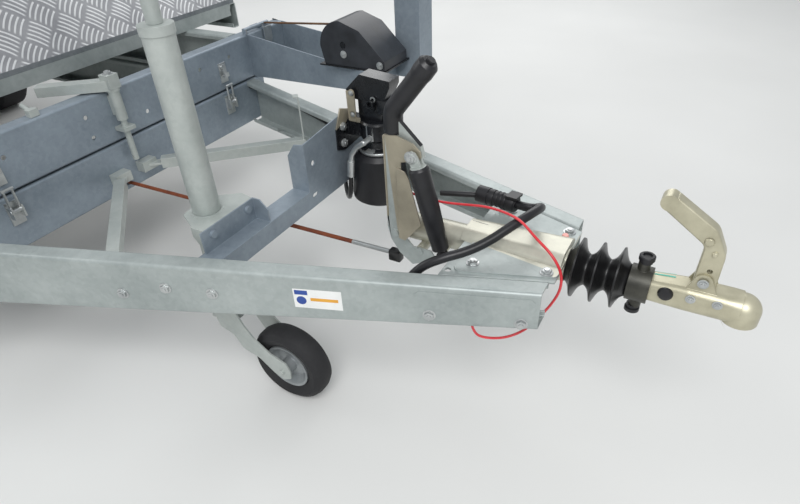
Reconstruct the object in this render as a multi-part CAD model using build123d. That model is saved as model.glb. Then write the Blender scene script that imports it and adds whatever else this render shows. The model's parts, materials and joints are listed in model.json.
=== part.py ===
from build123d import *
import math
import os

os.makedirs("parts", exist_ok=True)

# Flatbed car trailer with a tilting bed, a V drawbar and tandem axles. Millimetres.
# It is drawn with x = 0 at the drawbar's front end, y = 0 on the centre line and z = 0 on
# top of the drawbar, +X towards the tow car and +Z up. write() moves each piece so that the
# finished trailer's origin is on the ground under the middle of its length.

# Heights and lengths of the whole trailer
DRAWBAR_TOP = 560
CROSSBEAM_X = -1630
DECK_FRONT_X = -1930
DECK_LENGTH = 4500
DECK_RISE = 257
TILT_GAP = 7
TRACK = 1750
AXLE_X = -4500
AXLE_SPREAD = 700
HINGE_X = -4760

# Folded sheet sections
SHEET = 5
BEND = 9
LIP = 18
DRAWBAR_HALF = 183
DRAWBAR_ANGLE = 19
DRAWBAR_FLANGE = 55
DRAWBAR_H_FRONT = 110
DRAWBAR_H_BACK = 190
CROSS_H = 180
CROSS_DEPTH = 60
LOWER_HALF = 800
UPPER_HALF = 990
RAIL_Y = 745
RAIL_W = 60
SIDE_RAIL_Y = 1020
SIDE_RAIL_W = 40
SIDE_RAIL_H = 110
BEARER_W = 60
BEARER_COUNT = 10
DECK_PLATE = 18
BOARD_LEAN = 55
BOARD_RUN = 400
BOARD_CAP = 20
BOARD_SEAT = 1
SEAT_GAP = 0.3

# Road wheels
TYRE_R = 270
TYRE_W = 190
RIM_R = 165
RIM_W = 140
DISC_Y = 25
DRUM_R = 105
STUB_R = 20
AXLE_TUBE = 80
AXLE_LEAD = 150
ARM_T = 20

# Jockey wheel
JOCKEY_X = -905
JOCKEY_Y = -296
JOCKEY_TUBE_R = 38
JOCKEY_WALL = 4
JOCKEY_TOP = 540
JOCKEY_FOOT = -125
CLAMP_TOP = 60
JOCKEY_TRAIL = 200
JOCKEY_WHEEL_R = 130
JOCKEY_WHEEL_W = 80
JOCKEY_RIM_R = 76
FORK_T = 6
FORK_GAP = 8

# Overrun device and coupling
COUPLING_Z = -30
DRAW_TUBE_R = 30
HOUSING_R = 38
HOUSING_BACK = -470
BELLOWS_START = 12
BELLOWS_LENGTH = 148
BELLOWS_R = 76
BELLOWS_ROOT = 44
BELLOWS_FOLDS = 3
COLLAR_R = 45
COLLAR_LENGTH = 50
FLANGE_DROP = 3
FLANGE_TOP = 1.5
HEAD_LOW = -58
BALL_X = 406
BALL_R = 25
CUP_R = 40
HANDLE_BACK = 92
HANDLE_PIN_Z = 30
HANDLE_OUTLINE = ((-22, -20), (-20, 88), (-121, 158), (-98, 190), (-3, 130), (26, 74), (27, -20))
HANDLE_CORNERS = (7, 22, 7, 7, 40, 50, 7)

# Tilt ram
RAM_BASE = (-3200, -140)
RAM_EYE = (-2620, 70)
RAM_BORE_R = 32
RAM_ROD_R = 18
RAM_PIN_R = 12

# Hinge of the bed
HINGE_Z = -60
HINGE_R = 25
EAR_T = 10
EAR_SPACE = 7
RUN_GAP = 0.05

# Drawbar fittings
STRUT_Z = -110
STRUT_TIP_X = -1120
STRUT_W = 38
STRAP_BACK = 62
STRAP_W = 31
STRAP_H = 170
ROD_R = 6.5
ROD_START = (CROSSBEAM_X, -26, -150)
CROSSMEMBER_X = -780
CROSSMEMBER_DEPTH = 64
CROSSMEMBER_H = 58
FORK_PIN_R = 12
HUB_BOLT_R = 8
HANDBRAKE_Y = -56
HANDBRAKE_PIVOT = (-394, 213)
BRACKET_OUTLINE = ((-80, 41), (-44, 45), (2, 31), (22, 14), (24, -2), (12, -14), (-12, -20), (-36, -26), (-38, -243),
                   (-6, -275), (49, -275), (59, -293), (49, -311), (-11, -337), (-51, -307), (-76, -269),
                   (-86, -229))
LEAF_OUTLINE = ((-38, -30), (-14, -38), (-3, -54), (30, -184), (-3, -226), (-20, -247), (-38, -243))
BRACKET_BOLTS = ((-61, -243), (14, -283))
SPRING_Y = -64
SPRING_R = 27
SPRING_TAPER = 4
SPRING_HEAD = (18.6, -22)
SPRING_FOOT = (86, -268)
SPRING_EYE_R = 12
SPRING_EYE_GAP = 18
CLEVIS_OUTLINE = ((-15, -2), (-11, 11), (0, 16), (11, 12), (18, 2), (30, -30), (4, -34))
LEVER_ARM = ((-20, -13), (0, -23), (24, -8), (16, 23), (-42, 79), (-68, 62), (-72, 45), (-46, 19))
GRIP_ROUTE = ((-66, 44), (-65, 98), (34, 222))
GRIP_R = 25
PUMP_X = -681
PUMP_Y = 244
PUMP_SEAT = 48
TANK_R = 95
TANK_TOP_R = 80
TANK_H = 163
PUMP_HEAD = ((-88, 240), (-37, 290), (67, 281), (66, 262), (45, 219), (-45, 212), (-84, 218))
WINCH_ANGLE = 17.3
WINCH_ARM = 830
WINCH_POST = (-815, 752)
WINCH_POST_TOP = 760
WINCH_CENTRE = (-980, 605)
WINCH_AXIS = 78
DRUM_ROPE_R = 38
ROPE_R = 4
COVER_NEAR_Y = 525
COVER_R = 90
ROPE_END_Y = 870
LATCH_SPOT = (-1604, 20)
LATCH_FOOT = -70
TOGGLE_Y = (-440, 560)
TOGGLE_Z = -50
BED_BEAM_HOLES = ((-396, 113), (-96, 127), (-94, 54), (149, 62), (443, 126), (615, 128))
BOLT_R = 11
WEB_BOLTS = ((39, -92), (260, -88), (827, -77), (957, -71), (1090, -101))
RAM_EAR_Y = 26
RAM_LUG = 40
LAMP_DEPTH = 40
DRUM_DEPTH = 72
VENT_COUNT = 10

# Cords, as points along their routes
LEAD_R = 12
LEAD_ROUTE = ((-167.7, 111.3, 40), (-126, 106, 40), (-94, 88, 64), (-88, 44, 84), (-102, -4, 86),
              (-130, -50, 72), (-164, -98, 50), (-204, -142, 34), (-250, -180, 26), (-300, -204, 0),
              (-334, -222, -50), (-384, -262, -90), (-470, -308, -104), (-1000, -493, -112),
              (-1566, -694, -112), (-1629.7, -694, -112))
BREAKAWAY_R = 2.5
BREAKAWAY_ROUTE = ((-452, -51.7, 92), (-450, -36, 90), (-432, -20, 84), (-396, -10, 74),
                   (-340, -4, 66), (-268, 4, 72), (-212, -2, 84),
                   (-152, -22, 92), (-104, -46, 94), (-58, -80, 80), (-8, -102, 60), (22, -110, 22),
                   (26, -110, -24), (12, -106, -74), (-12, -108, -124), (-40, -128, -168),
                   (-80, -158, -188), (-122, -188, -182), (-148, -212, -158), (-152, -222, -117.6))
HOSE_R = 7
HOSE_Y = 155
HOSE_ROUTE = ((-737, HOSE_Y, -18), (-741, HOSE_Y, -54), (-752, 162, -98), (-782, 194, -128),
              (-826, 244, -126), (-868, 306, -100), (-930, 400, -70), (-1010, 492, -52), (-1120, 548, -44),
              (-1572, 702, -27), (-1629.7, 702, -27))
PLUG_R = 21
PLUG_ENDS = ((-252, 122, 40), (-168, 111.3, 40))

REAR_X = DECK_FRONT_X - DECK_LENGTH
NOSE_X = BALL_X + CUP_R
TAIL_DEPTH = 45
TAIL_X = REAR_X - TAIL_DEPTH - LAMP_DEPTH
MID_X = (NOSE_X + TAIL_X) / 2
LOWER_BACK = HINGE_X - 40
BED_BOTTOM = TILT_GAP
BED_TOP = BED_BOTTOM + CROSS_H
DECK_UNDER = DECK_RISE - DECK_PLATE
WHEEL_Z = TYRE_R - DRAWBAR_TOP
WHEEL_BASE_Z = JOCKEY_WHEEL_R - DRAWBAR_TOP
CROSS_BACK = CROSSBEAM_X - CROSS_DEPTH


def write(name, *solids):
    """Moves a piece into the trailer's own frame and writes it."""
    whole = Compound(children=[s.moved(Location((-MID_X, 0, DRAWBAR_TOP)))
                               for part in solids for s in part.solids()])
    export_step(whole, f"parts/{name}.step")


def block(x0, x1, y0, y1, z0, z1):
    size = (abs(x1 - x0), abs(y1 - y0), abs(z1 - z0))
    return Pos((x0 + x1) / 2, (y0 + y1) / 2, (z0 + z1) / 2) * Box(*size)


def side_plate(points, y0, y1):
    """A flat plate cut to an outline in x and z, standing between y0 and y1."""
    face = make_face(Polyline(*[(x, y0, z) for x, z in points], close=True))
    return extrude(face, amount=y1 - y0, dir=(0, 1, 0))


def flat_plate(points, z0, z1):
    """A flat plate cut to an outline in x and y, lying between z0 and z1."""
    face = make_face(Polyline(*[(x, y, z0) for x, y in points], close=True))
    return extrude(face, amount=z1 - z0, dir=(0, 0, 1))


def bar(start, end, radius, bore=0):
    """A round bar or tube from start to end."""
    start, end = Vector(*start), Vector(*end)
    run = end - start
    plane = Plane(origin=start, z_dir=run)
    solid = plane * Pos(0, 0, run.length / 2) * Cylinder(radius, run.length)
    if bore:
        solid -= plane * Pos(0, 0, run.length / 2) * Cylinder(bore, run.length + 2)
    return solid


def section(points):
    """Folded sheet's outline in y and z, bent round its middle line."""
    middle = FilletPolyline(*[(0, y, z) for y, z in points], radius=BEND - SHEET / 2)
    return Plane.YZ * make_face(offset(Plane.YZ.to_local_coords(middle), SHEET / 2, side=Side.BOTH))


def lipped(height, width, lip=LIP):
    """A lipped channel's section: web at y = 0, top at z = 0, open towards +y."""
    half = SHEET / 2
    points = [(width - half, -lip), (width - half, -half), (half, -half),
              (half, half - height), (width - half, half - height), (width - half, lip - height)]
    return section(points)


def channel(length, height, width, lip=LIP):
    """A lipped channel along +x."""
    return extrude(lipped(height, width, lip), amount=length, dir=(1, 0, 0))


def mirrored(solid):
    return mirror(solid, about=Plane.XZ)


def revolved(points, place):
    """A ring turned round its local z axis from an outline in radius and height."""
    face = make_face(Polyline(*[(r, 0, h) for r, h in points], close=True))
    return place * revolve(face, axis=Axis.Z)


def beam_outer(x):
    """Half-width over the drawbar beams' outer faces at x."""
    return DRAWBAR_HALF - x * math.tan(math.radians(DRAWBAR_ANGLE))


def beam_inner(x):
    """Half-width between the drawbar beams' inner flange edges at x."""
    return beam_outer(x) - DRAWBAR_FLANGE / math.cos(math.radians(DRAWBAR_ANGLE))


def rounded_plate(points, radii, y0, y1):
    """A flat plate between y0 and y1 whose outline in x and z has rounded corners."""
    outline = FilletPolyline(*[(x, y0, z) for x, z in points], radius=radii, close=True)
    return extrude(make_face(outline), amount=y1 - y0, dir=(0, 1, 0))


def about(points, x, z):
    """An outline's points moved from round (0, 0) to round (x, z)."""
    return [(x + a, z + b) for a, b in points]


def between_beams(x0, x1, gap):
    """The outline in x and y of the space between the drawbar's beams, less a gap."""
    ends = [(x, beam_inner(x) - gap) for x in (x0, x1)]
    return ends + [(x, -y) for x, y in reversed(ends)]


def bolt_x(x, y, z, height=8):
    """A bolt's head on a face that looks along +x."""
    return bar((x - 1, y, z), (x + height, y, z), BOLT_R)


def bolt_z(x, y, z):
    """A bolt's head on a face that looks up."""
    return bar((x, y, z - 1), (x, y, z + 7), BOLT_R)


def drawbar():
    """The drawbar's two beams are lipped channels that grow deeper towards the bed."""
    lead, run = 80, 1900
    growth = (DRAWBAR_H_BACK - DRAWBAR_H_FRONT) / 1700
    heights = [DRAWBAR_H_FRONT - growth * lead, DRAWBAR_H_FRONT + growth * run]
    faces = [Pos(s, 0, 0) * lipped(h, DRAWBAR_FLANGE) for s, h in zip((-lead, run), heights)]
    angle = math.radians(DRAWBAR_ANGLE)
    seat = Plane(origin=(0, DRAWBAR_HALF, 0), x_dir=(-math.cos(angle), math.sin(angle), 0),
                 z_dir=(0, 0, 1))
    beam = seat * loft(faces, ruled=True)
    beam &= block(CROSSBEAM_X, 0, 0, 1200, -300, 10)
    for s, z in WEB_BOLTS:
        beam += seat * Pos(s, -1, z) * Rot(90, 0, 0) * Cylinder(BOLT_R, 12)
    write("drawbar_left", beam)
    write("drawbar_right", mirrored(beam))


def crossbeams():
    """One folded beam ends the chassis, and its twin above it ends the bed."""
    x = CROSSBEAM_X
    for name, half, top in (("front_crossbeam", LOWER_HALF, 0),
                            ("bed_front_beam", UPPER_HALF, BED_TOP)):
        seat = Plane(origin=(x, -half, top), x_dir=(0, 1, 0), z_dir=(0, 0, 1))
        beam = seat * channel(2 * half, CROSS_H, CROSS_DEPTH)
        for y in (-half + SHEET / 2, half - SHEET / 2):
            cap = (CROSS_BACK + SHEET, x - SHEET, y - SHEET / 2, y + SHEET / 2)
            beam += block(*cap, top - CROSS_H + SHEET, top - SHEET)
        if name == "front_crossbeam":
            beam -= bar((CROSS_BACK - 5, ROD_START[1], ROD_START[2]), (x + 5, ROD_START[1], ROD_START[2]),
                        ROD_R + 6)
            beam += toggles()
        else:
            for y, z in BED_BEAM_HOLES:
                beam -= Pos(x, y, z) * Rot(0, 90, 0) * Cylinder(8, 30)
            beam += toggle_hooks() + rope_anchor()
        write(name, beam)


def toggles():
    """Two toggle clamps on the chassis' beam, each with a wire loop that reaches up."""
    x, z, half = CROSSBEAM_X, TOGGLE_Z, 14
    clamps = []
    for y in TOGGLE_Y:
        body = block(x, x + 6, y - 22, y + 22, z - 46, z + 34)
        for side in (-1, 1):
            body += block(x, x + 30, y + side * 17 - 3, y + side * 17 + 3, z - 20, z + 22)
            body += bar((x + 20, y + side * half, z), (x + 20, y + side * half, z + 79), 4)
        body += bar((x + 20, y - 22, z + 6), (x + 20, y + 22, z + 6), 7)
        body += bar((x + 20, y - half - 6, z + 79), (x + 20, y + half + 6, z + 79), 4.6)
        clamps.append(body)
    return clamps[0] + clamps[1]


def toggle_hooks():
    """The hooks on the bed's beam that the toggle clamps' loops catch."""
    x = CROSSBEAM_X
    low = TOGGLE_Z + 90
    hooks = []
    for y in TOGGLE_Y:
        hook = block(x, x + 5, y - 20, y + 20, low, low + 80)
        hook += block(x, x + 24, y - 12, y + 12, low + 24, low + 30)
        hook += block(x + 19, x + 24, y - 12, y + 12, low + 24, low + 42)
        hook += bolt_x(x + 5, y, low + 62)
        hooks.append(hook)
    return hooks[0] + hooks[1]


def rope_anchor():
    """A tongue bent over the bed's beam and the rod behind it hold the rope's end."""
    front, y = CROSSBEAM_X + 12, ROPE_END_Y
    anchor = block(front - 82, front, y - 25, y + 25, BED_TOP - 1, BED_TOP + 6)
    anchor += block(front - 6, front, y - 25, y + 25, BED_TOP - 45, BED_TOP + 6)
    anchor += bar((front - 6, y, BED_TOP - 45), (front, y, BED_TOP - 45), 25)
    rod_x, rod_z = CROSSBEAM_X - 10, BED_TOP + 16
    anchor += bar((rod_x, y - 130, rod_z), (rod_x, y + 30, rod_z), 8)
    for lug_y in (y - 128, y - 20):
        anchor += block(rod_x - 11, rod_x + 11, lug_y, lug_y + 8, BED_TOP - 1, rod_z + 5)
    return anchor


def rails():
    """Long channels carry the bed's floor, each over one of the chassis."""
    seat = Plane(origin=(CROSS_BACK, RAIL_Y, 0), x_dir=(-1, 0, 0), z_dir=(0, 0, 1))
    lower = seat * channel(CROSS_BACK - LOWER_BACK, CROSS_H, RAIL_W)
    lower -= side_plate([(HINGE_X - 5, 1), (HINGE_X - 60, 1), (HINGE_X - 60, -42)],
                        RAIL_Y - RAIL_W - 1, RAIL_Y + 1)
    for x in (CROSS_BACK - 100, -3050, -4150):
        lower += block(x - 40, x + 40, RAIL_Y - RAIL_W + 5, RAIL_Y - 5, 0, TILT_GAP - SEAT_GAP)
    for x in axle_places():
        tube_x = x + AXLE_LEAD
        lower += block(tube_x - 60, tube_x + 60, RAIL_Y - RAIL_W, RAIL_Y, -CROSS_H - 8, -CROSS_H)
    write("chassis_rail_left", lower)
    write("chassis_rail_right", mirrored(lower))
    seat = Plane(origin=(CROSS_BACK, RAIL_Y, BED_TOP), x_dir=(-1, 0, 0), z_dir=(0, 0, 1))
    upper = seat * channel(CROSS_BACK - REAR_X, CROSS_H, RAIL_W)
    inner = RAIL_Y - RAIL_W
    ear_top = [(HINGE_X + 90, BED_BOTTOM + 60), (HINGE_X - 90, BED_BOTTOM + 60),
               (HINGE_X - 60, BED_BOTTOM + 2), (HINGE_X + 60, BED_BOTTOM + 2)]
    ear_low = [(HINGE_X + 60, BED_BOTTOM + 20), (HINGE_X - 60, BED_BOTTOM + 20),
               (HINGE_X - 36, HINGE_Z), (HINGE_X + 36, HINGE_Z)]
    ear = side_plate(ear_top, inner - EAR_SPACE - EAR_T, inner)
    ear += side_plate(ear_low, inner - EAR_SPACE - EAR_T, inner - EAR_SPACE)
    ear += bar((HINGE_X, inner - EAR_SPACE - EAR_T, HINGE_Z), (HINGE_X, inner - EAR_SPACE, HINGE_Z), 40)
    ear -= bar((HINGE_X, inner - 60, HINGE_Z), (HINGE_X, inner + 60, HINGE_Z), HINGE_R + RUN_GAP)
    upper += ear
    write("bed_rail_left", upper)
    write("bed_rail_right", mirrored(upper))


def axle_places():
    return AXLE_X + AXLE_SPREAD / 2, AXLE_X - AXLE_SPREAD / 2


def chassis_crossmembers():
    """The ram pushes from one tube across the chassis, and the bed turns on another."""
    web = RAIL_Y - SHEET
    inner = RAIL_Y - RAIL_W
    base_x, base_z = RAM_BASE
    tube = block(base_x - 110, base_x - 50, -inner, inner, base_z - 35, base_z + 25)
    for side in (-1, 1):
        y0 = side * RAM_EAR_Y
        ear = side_plate([(base_x - 60, base_z - 30), (base_x + 10, base_z - 24),
                          (base_x + 24, base_z), (base_x + 10, base_z + 24),
                          (base_x - 60, base_z + 20)], min(y0, y0 + side * 10), max(y0, y0 + side * 10))
        tube += ear
    tube += bar((base_x, -RAM_EAR_Y - 8, base_z), (base_x, RAM_EAR_Y + 8, base_z), RAM_PIN_R)
    write("ram_crossmember", tube)
    write("hinge_tube", bar((HINGE_X, -web, HINGE_Z), (HINGE_X, web, HINGE_Z), HINGE_R, HINGE_R - 6))


def drawbar_struts():
    """Two struts brace the drawbar's beams from the middle of the crossbeam."""
    z = STRUT_Z
    tip = (STRUT_TIP_X, beam_inner(STRUT_TIP_X) - 6)
    ends = (("strut_right", (CROSSBEAM_X + 20, -60), (tip[0], -tip[1])),
            ("strut_left", (CROSSBEAM_X + 20, 60), tip))
    for name, (x0, y0), (x1, y1) in ends:
        run = Vector(x1 - x0, y1 - y0, 0)
        seat = Plane(origin=(x0, y0, z), x_dir=run, z_dir=(0, 0, 1))
        length = run.length
        leg = seat * Pos(length / 2, 0, 0) * Box(length - 110, STRUT_W, STRUT_W)
        tab_root = seat * Pos(35, 0, 0) * Box(70, STRUT_W, 8)
        tab_tip = seat * Pos(length - 35, 0, 0) * Box(70, STRUT_W, 8)
        foot = block(CROSSBEAM_X, x0 + 20, y0 - 32, y0 + 32, z - STRUT_W / 2, z + STRUT_W / 2)
        strut = leg + tab_root + tab_tip + foot
        if name == "strut_left":
            low = z + STRUT_W / 2 - 1
            strap = seat * Pos(length - STRAP_BACK, 0, low - z + STRAP_H / 2) * Box(5, STRAP_W, STRAP_H)
            lip = seat * Pos(length - STRAP_BACK - 8, 0, low - z + STRAP_H) * Box(21, STRAP_W, 5)
            strut += strap + lip
        write(name, strut)


def drawbar_crossmember():
    """A folded cross piece with two upright plates, for the jockey wheel and the pump."""
    x0, x1 = CROSSMEMBER_X - CROSSMEMBER_DEPTH, CROSSMEMBER_X
    top = -SHEET - 0.5
    y_max = beam_outer(x0)
    ledge = block(x0, x1, -y_max, y_max, top - SHEET, top)
    ledge += block(x1 - SHEET, x1, -y_max, y_max, top - CROSSMEMBER_H, top)
    ledge &= flat_plate(between_beams(x0 - 10, x1 + 10, 0), -300, 300)
    slot = Plane(origin=(x1 - 10, 19, -26), x_dir=(0, 1, 0), z_dir=(1, 0, 0)) * SlotOverall(26, 13)
    ledge -= extrude(slot, amount=20, dir=(1, 0, 0))
    face = x0 + 8
    short = side_plate_yz([(-397, top), (-190, top), (-190, 60), (-397, 60)], face, face + 4)
    short += side_plate([(face, 60), (x1 - 28, 60), (x1 - 4, 34), (x1 - 4, top), (face, top)], -194, -190)
    for y in (-358, -221):
        short += bolt_x(face + 4, y, 38)
    tall = side_plate_yz([(-8, top), (350, top), (350, 60), (262, 168), (190, 168), (-8, 149)], x1 - 4, x1)
    tall += side_plate([(x1, 149), (x1 - 36, 143), (x0, 104), (x0, top), (x1, top)], -8, -4)
    tall -= Pos(x1, 27, 77) * Rot(0, 90, 0) * Cylinder(8, 20)
    write("drawbar_crossmember", ledge + short + tall)


def side_plate_yz(points, x0, x1):
    """A flat plate cut to an outline in y and z, standing between x0 and x1."""
    face = make_face(Polyline(*[(x0, y, z) for y, z in points], close=True))
    return extrude(face, amount=x1 - x0, dir=(1, 0, 0))


def jockey():
    """The jockey wheel's tube is clamped beside the right beam, and its leg slides in it."""
    x, y = JOCKEY_X, JOCKEY_Y
    face = CROSSMEMBER_X - CROSSMEMBER_DEPTH + 8 - SEAT_GAP
    near = y - 84
    clamp = flat_plate([(face, near), (face, y + 104), (x + 25, y + 112), (x - 40, y + 64), (x - 50, y - 4),
                        (x - 40, y - 49), (x + 25, near)], CLAMP_TOP - SHEET, CLAMP_TOP)
    clamp += block(face - SHEET, face, near, y + 96, 0, CLAMP_TOP)
    clamp += side_plate([(face, CLAMP_TOP), (face, -SHEET), (face - 14, -SHEET), (x + 25, 30), (x + 25, CLAMP_TOP)],
                        near - 4, near)
    clamp += bar((x, y, JOCKEY_FOOT), (x, y, CLAMP_TOP + 2), JOCKEY_TUBE_R + 7)
    clamp -= bar((x, y, JOCKEY_FOOT - 10), (x, y, CLAMP_TOP + 10), JOCKEY_TUBE_R + SEAT_GAP)
    write("jockey_clamp", clamp)
    tube = bar((x, y, JOCKEY_FOOT), (x, y, JOCKEY_TOP), JOCKEY_TUBE_R, JOCKEY_TUBE_R - JOCKEY_WALL)
    tube += bar((x, y, JOCKEY_TOP - 22), (x, y, JOCKEY_TOP), JOCKEY_TUBE_R + 3, JOCKEY_TUBE_R - 2)
    tube += bar((x, y, JOCKEY_TOP - 6), (x, y, JOCKEY_TOP), JOCKEY_TUBE_R, 9)
    write("jockey_outer_tube", tube)
    crank_z = JOCKEY_TOP + 78
    crank = bar((x, y, JOCKEY_TOP + SEAT_GAP), (x, y, crank_z), 19)
    crank += bar((x, y, JOCKEY_TOP - 30), (x, y, JOCKEY_TOP + 5), 8.5)
    crank += block(x - 130, x + 12, y - 11, y + 11, crank_z - 12, crank_z)
    crank += bar((x - 118, y, crank_z - 1), (x - 118, y, crank_z + 95), 14)
    write("jockey_crank", crank)
    foot = WHEEL_BASE_Z + JOCKEY_WHEEL_R + 12
    leg_r = JOCKEY_TUBE_R - JOCKEY_WALL - SEAT_GAP
    leg = bar((x, y, foot), (x, y, JOCKEY_TOP - 175), leg_r, leg_r - 4)
    leg += bar((x, y, foot), (x, y, foot + 14), leg_r, FORK_PIN_R + RUN_GAP)
    write("jockey_leg", leg)
    hub_x, hub_z = x + JOCKEY_TRAIL, WHEEL_BASE_Z
    side = JOCKEY_WHEEL_W / 2 + FORK_GAP
    fork = block(x - 40, x + 44, y - side - FORK_T, y + side + FORK_T, foot - 10, foot - SEAT_GAP)
    fork += bar((x, y, foot - 5), (x, y, foot + 20), FORK_PIN_R)
    arm = [(-40, foot + 38), (62, foot + 38), (82, foot - 4), (112, foot - 44), (hub_x - x - 35, hub_z + 58),
           (hub_x - x + 20, hub_z + 40), (hub_x - x + 32, hub_z + 12), (hub_x - x + 30, hub_z - 18),
           (hub_x - x, hub_z - 32), (hub_x - x - 34, hub_z - 18), (118, hub_z + 22), (58, hub_z + 38),
           (30, foot - 57), (-18, foot - 42)]
    for inner in (y + side, y - side - FORK_T):
        fork += rounded_plate(about(arm, x, 0), 9, inner, inner + FORK_T)
    fork += bar((hub_x, y - side - FORK_T - 8, hub_z), (hub_x, y + side + FORK_T + 8, hub_z), HUB_BOLT_R)
    write("jockey_fork", fork)
    half = JOCKEY_WHEEL_W / 2
    seat = Plane(origin=(hub_x, y, hub_z), z_dir=(0, 1, 0))
    r, w = JOCKEY_WHEEL_R, half
    write("jockey_tyre", revolved([(JOCKEY_RIM_R, -w + 14), (JOCKEY_RIM_R, w - 14),
                                   (JOCKEY_RIM_R + 18, w - 2), (r - 22, w), (r - 6, w - 12),
                                   (r, w - 28), (r, 28 - w), (r - 6, 12 - w), (r - 22, -w),
                                   (JOCKEY_RIM_R + 18, 2 - w)], seat))
    rim = JOCKEY_RIM_R - 0.2
    bore = HUB_BOLT_R + RUN_GAP
    write("jockey_rim", revolved([(bore, -half - 5), (24, -half - 5), (24, -12), (50, -8),
                                  (rim - 8, -30), (rim, -32), (rim, 32), (rim - 8, 30), (50, 8),
                                  (24, 12), (24, half + 5), (bore, half + 5)], seat))


def hump(x, base, top, height):
    """The section in y and z of the raised middle of the overrun housing at x."""
    right = [(base, -FLANGE_DROP), (base - 6, height * 0.4), (top + 6, height * 0.9), (top - 6, height)]
    return make_face(Polyline(*[(x, y, z) for y, z in right + [(-y, z) for y, z in reversed(right)]],
                              close=True))


def overrun():
    """The overrun device lies between the beams: housing, draw tube, bellows and head."""
    z = COUPLING_Z
    front = BELLOWS_START
    housing = flat_plate(between_beams(-250, front, SEAT_GAP), -FLANGE_DROP - 6, -FLANGE_DROP)
    flange = flat_plate(between_beams(-226, front, 14), -FLANGE_DROP, FLANGE_TOP)
    housing += fillet(flange.edges().filter_by(Axis.Z), 18)
    housing += loft([hump(-262, 50, 26, 19), hump(front - 4, 68, 38, 24)], ruled=True)
    housing += bar((HOUSING_BACK, 0, z), (6, 0, z), HOUSING_R)
    housing += bar((-14, 0, z), (front, 0, z), HOUSING_R + 6)
    for side in (-1, 1):
        housing += bolt_z(-190, side * 138, FLANGE_TOP) + bolt_z(-16, side * 98, FLANGE_TOP)
        housing -= Pos(-236, side * 183, -FLANGE_DROP) * Cylinder(8, 20)
    px, pz = HANDBRAKE_PIVOT
    for dx, dz in BRACKET_BOLTS:
        housing += bar((px + dx, HANDBRAKE_Y + 4, pz + dz), (px + dx, -12, pz + dz), 14)
    stud_x, stud_z = px + SPRING_FOOT[0], pz + SPRING_FOOT[1]
    housing += bar((stud_x, SPRING_Y - 16, stud_z), (stud_x, -16, stud_z), 7)
    housing += block(-215, -188, 102, 128, 1, PLUG_ENDS[0][2] - PLUG_R - SEAT_GAP)
    housing -= bar((HOUSING_BACK - 5, 0, z), (front + 5, 0, z), DRAW_TUBE_R + SEAT_GAP)
    write("overrun_housing", housing)
    end = BELLOWS_START + BELLOWS_LENGTH
    tube = bar((HOUSING_BACK + 30, 0, z), (end + COLLAR_LENGTH, 0, z), DRAW_TUBE_R, DRAW_TUBE_R - 8)
    tube += bar((end, 0, z), (end + COLLAR_LENGTH, 0, z), COLLAR_R, DRAW_TUBE_R - 8)
    for side in (-1, 1):
        tube += bar((end + 26, 0, z + side * (COLLAR_R - 8)), (end + 26, 0, z + side * 66), 14)
    write("draw_tube", tube)
    pitch = BELLOWS_LENGTH / BELLOWS_FOLDS
    outline = [(DRAW_TUBE_R + SEAT_GAP, SEAT_GAP)]
    for fold in range(BELLOWS_FOLDS):
        start = fold * pitch + (SEAT_GAP if fold == 0 else 0)
        middle = (fold + 0.5) * pitch
        outline += [(BELLOWS_ROOT, start), (BELLOWS_R - 5, middle - 4), (BELLOWS_R, middle - 1),
                    (BELLOWS_R, middle + 1), (BELLOWS_R - 5, middle + 4)]
    outline += [(BELLOWS_ROOT, BELLOWS_LENGTH - SEAT_GAP), (DRAW_TUBE_R + SEAT_GAP, BELLOWS_LENGTH - SEAT_GAP)]
    write("bellows", revolved(outline, Plane(origin=(BELLOWS_START, 0, z), z_dir=(1, 0, 0))))
    coupling_head(end + COLLAR_LENGTH)


def coupling_head(back):
    """The cast head closes over the tow ball from above, and its handle locks it."""
    z = COUPLING_Z
    stations = ((back, 62, 0, 16), (back + 80, 72, 8, 20), (back + 170, 78, 9, 26), (BALL_X - 4, 79, 9.5, 30))
    faces = []
    for x, width, high, corner in stations:
        seat = Plane(origin=(x, 0, (HEAD_LOW + high) / 2), x_dir=(0, 1, 0), z_dir=(1, 0, 0))
        faces.append(seat * RectangleRounded(width, high - HEAD_LOW, corner))
    head = loft(faces, ruled=True)
    head += Pos(BALL_X, 0, z) * Sphere(CUP_R)
    head += bar((BALL_X, 0, HEAD_LOW), (BALL_X, 0, z), CUP_R)
    pin_x, pin_z = BALL_X - HANDLE_BACK, HANDLE_PIN_Z
    for y0, y1 in ((-23.3, -17.3), (17.3, 23.3)):
        head += side_plate(about([(-32, -26), (34, -26), (18, 8), (-16, 8)], pin_x, pin_z), y0, y1)
        head += bar((pin_x, y0, pin_z), (pin_x, y1, pin_z), 20)
    head += bar((pin_x, -27, pin_z), (pin_x, 27, pin_z), 7)
    head -= block(BALL_X - 60, BALL_X + 60, -60, 60, HEAD_LOW - 30, HEAD_LOW)
    head -= Pos(BALL_X, 0, z) * Sphere(BALL_R + SEAT_GAP)
    head -= Pos(BALL_X, 0, z - 40) * Cylinder(BALL_R + SEAT_GAP, 80)
    write("coupling_head", head)
    handle = rounded_plate(about(HANDLE_OUTLINE, pin_x, pin_z), HANDLE_CORNERS, -17, 17)
    handle = fillet(handle.faces().filter_by(Axis.Y).edges(), 5)
    tip_x, tip_z = pin_x - 110, pin_z + 173
    handle += bar((tip_x, -17, tip_z), (tip_x, 17, tip_z), 19)
    for dx, dz in ((-13, 104), (4, 76)):
        handle += bar((pin_x + dx, -19, pin_z + dz), (pin_x + dx, 19, pin_z + dz), 6)
    handle -= bar((pin_x + 5, -20, pin_z + 29), (pin_x + 5, 20, pin_z + 29), 6)
    handle -= bar((pin_x, -20, pin_z), (pin_x, 20, pin_z), 7 + RUN_GAP)
    write("coupling_handle", handle)


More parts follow.
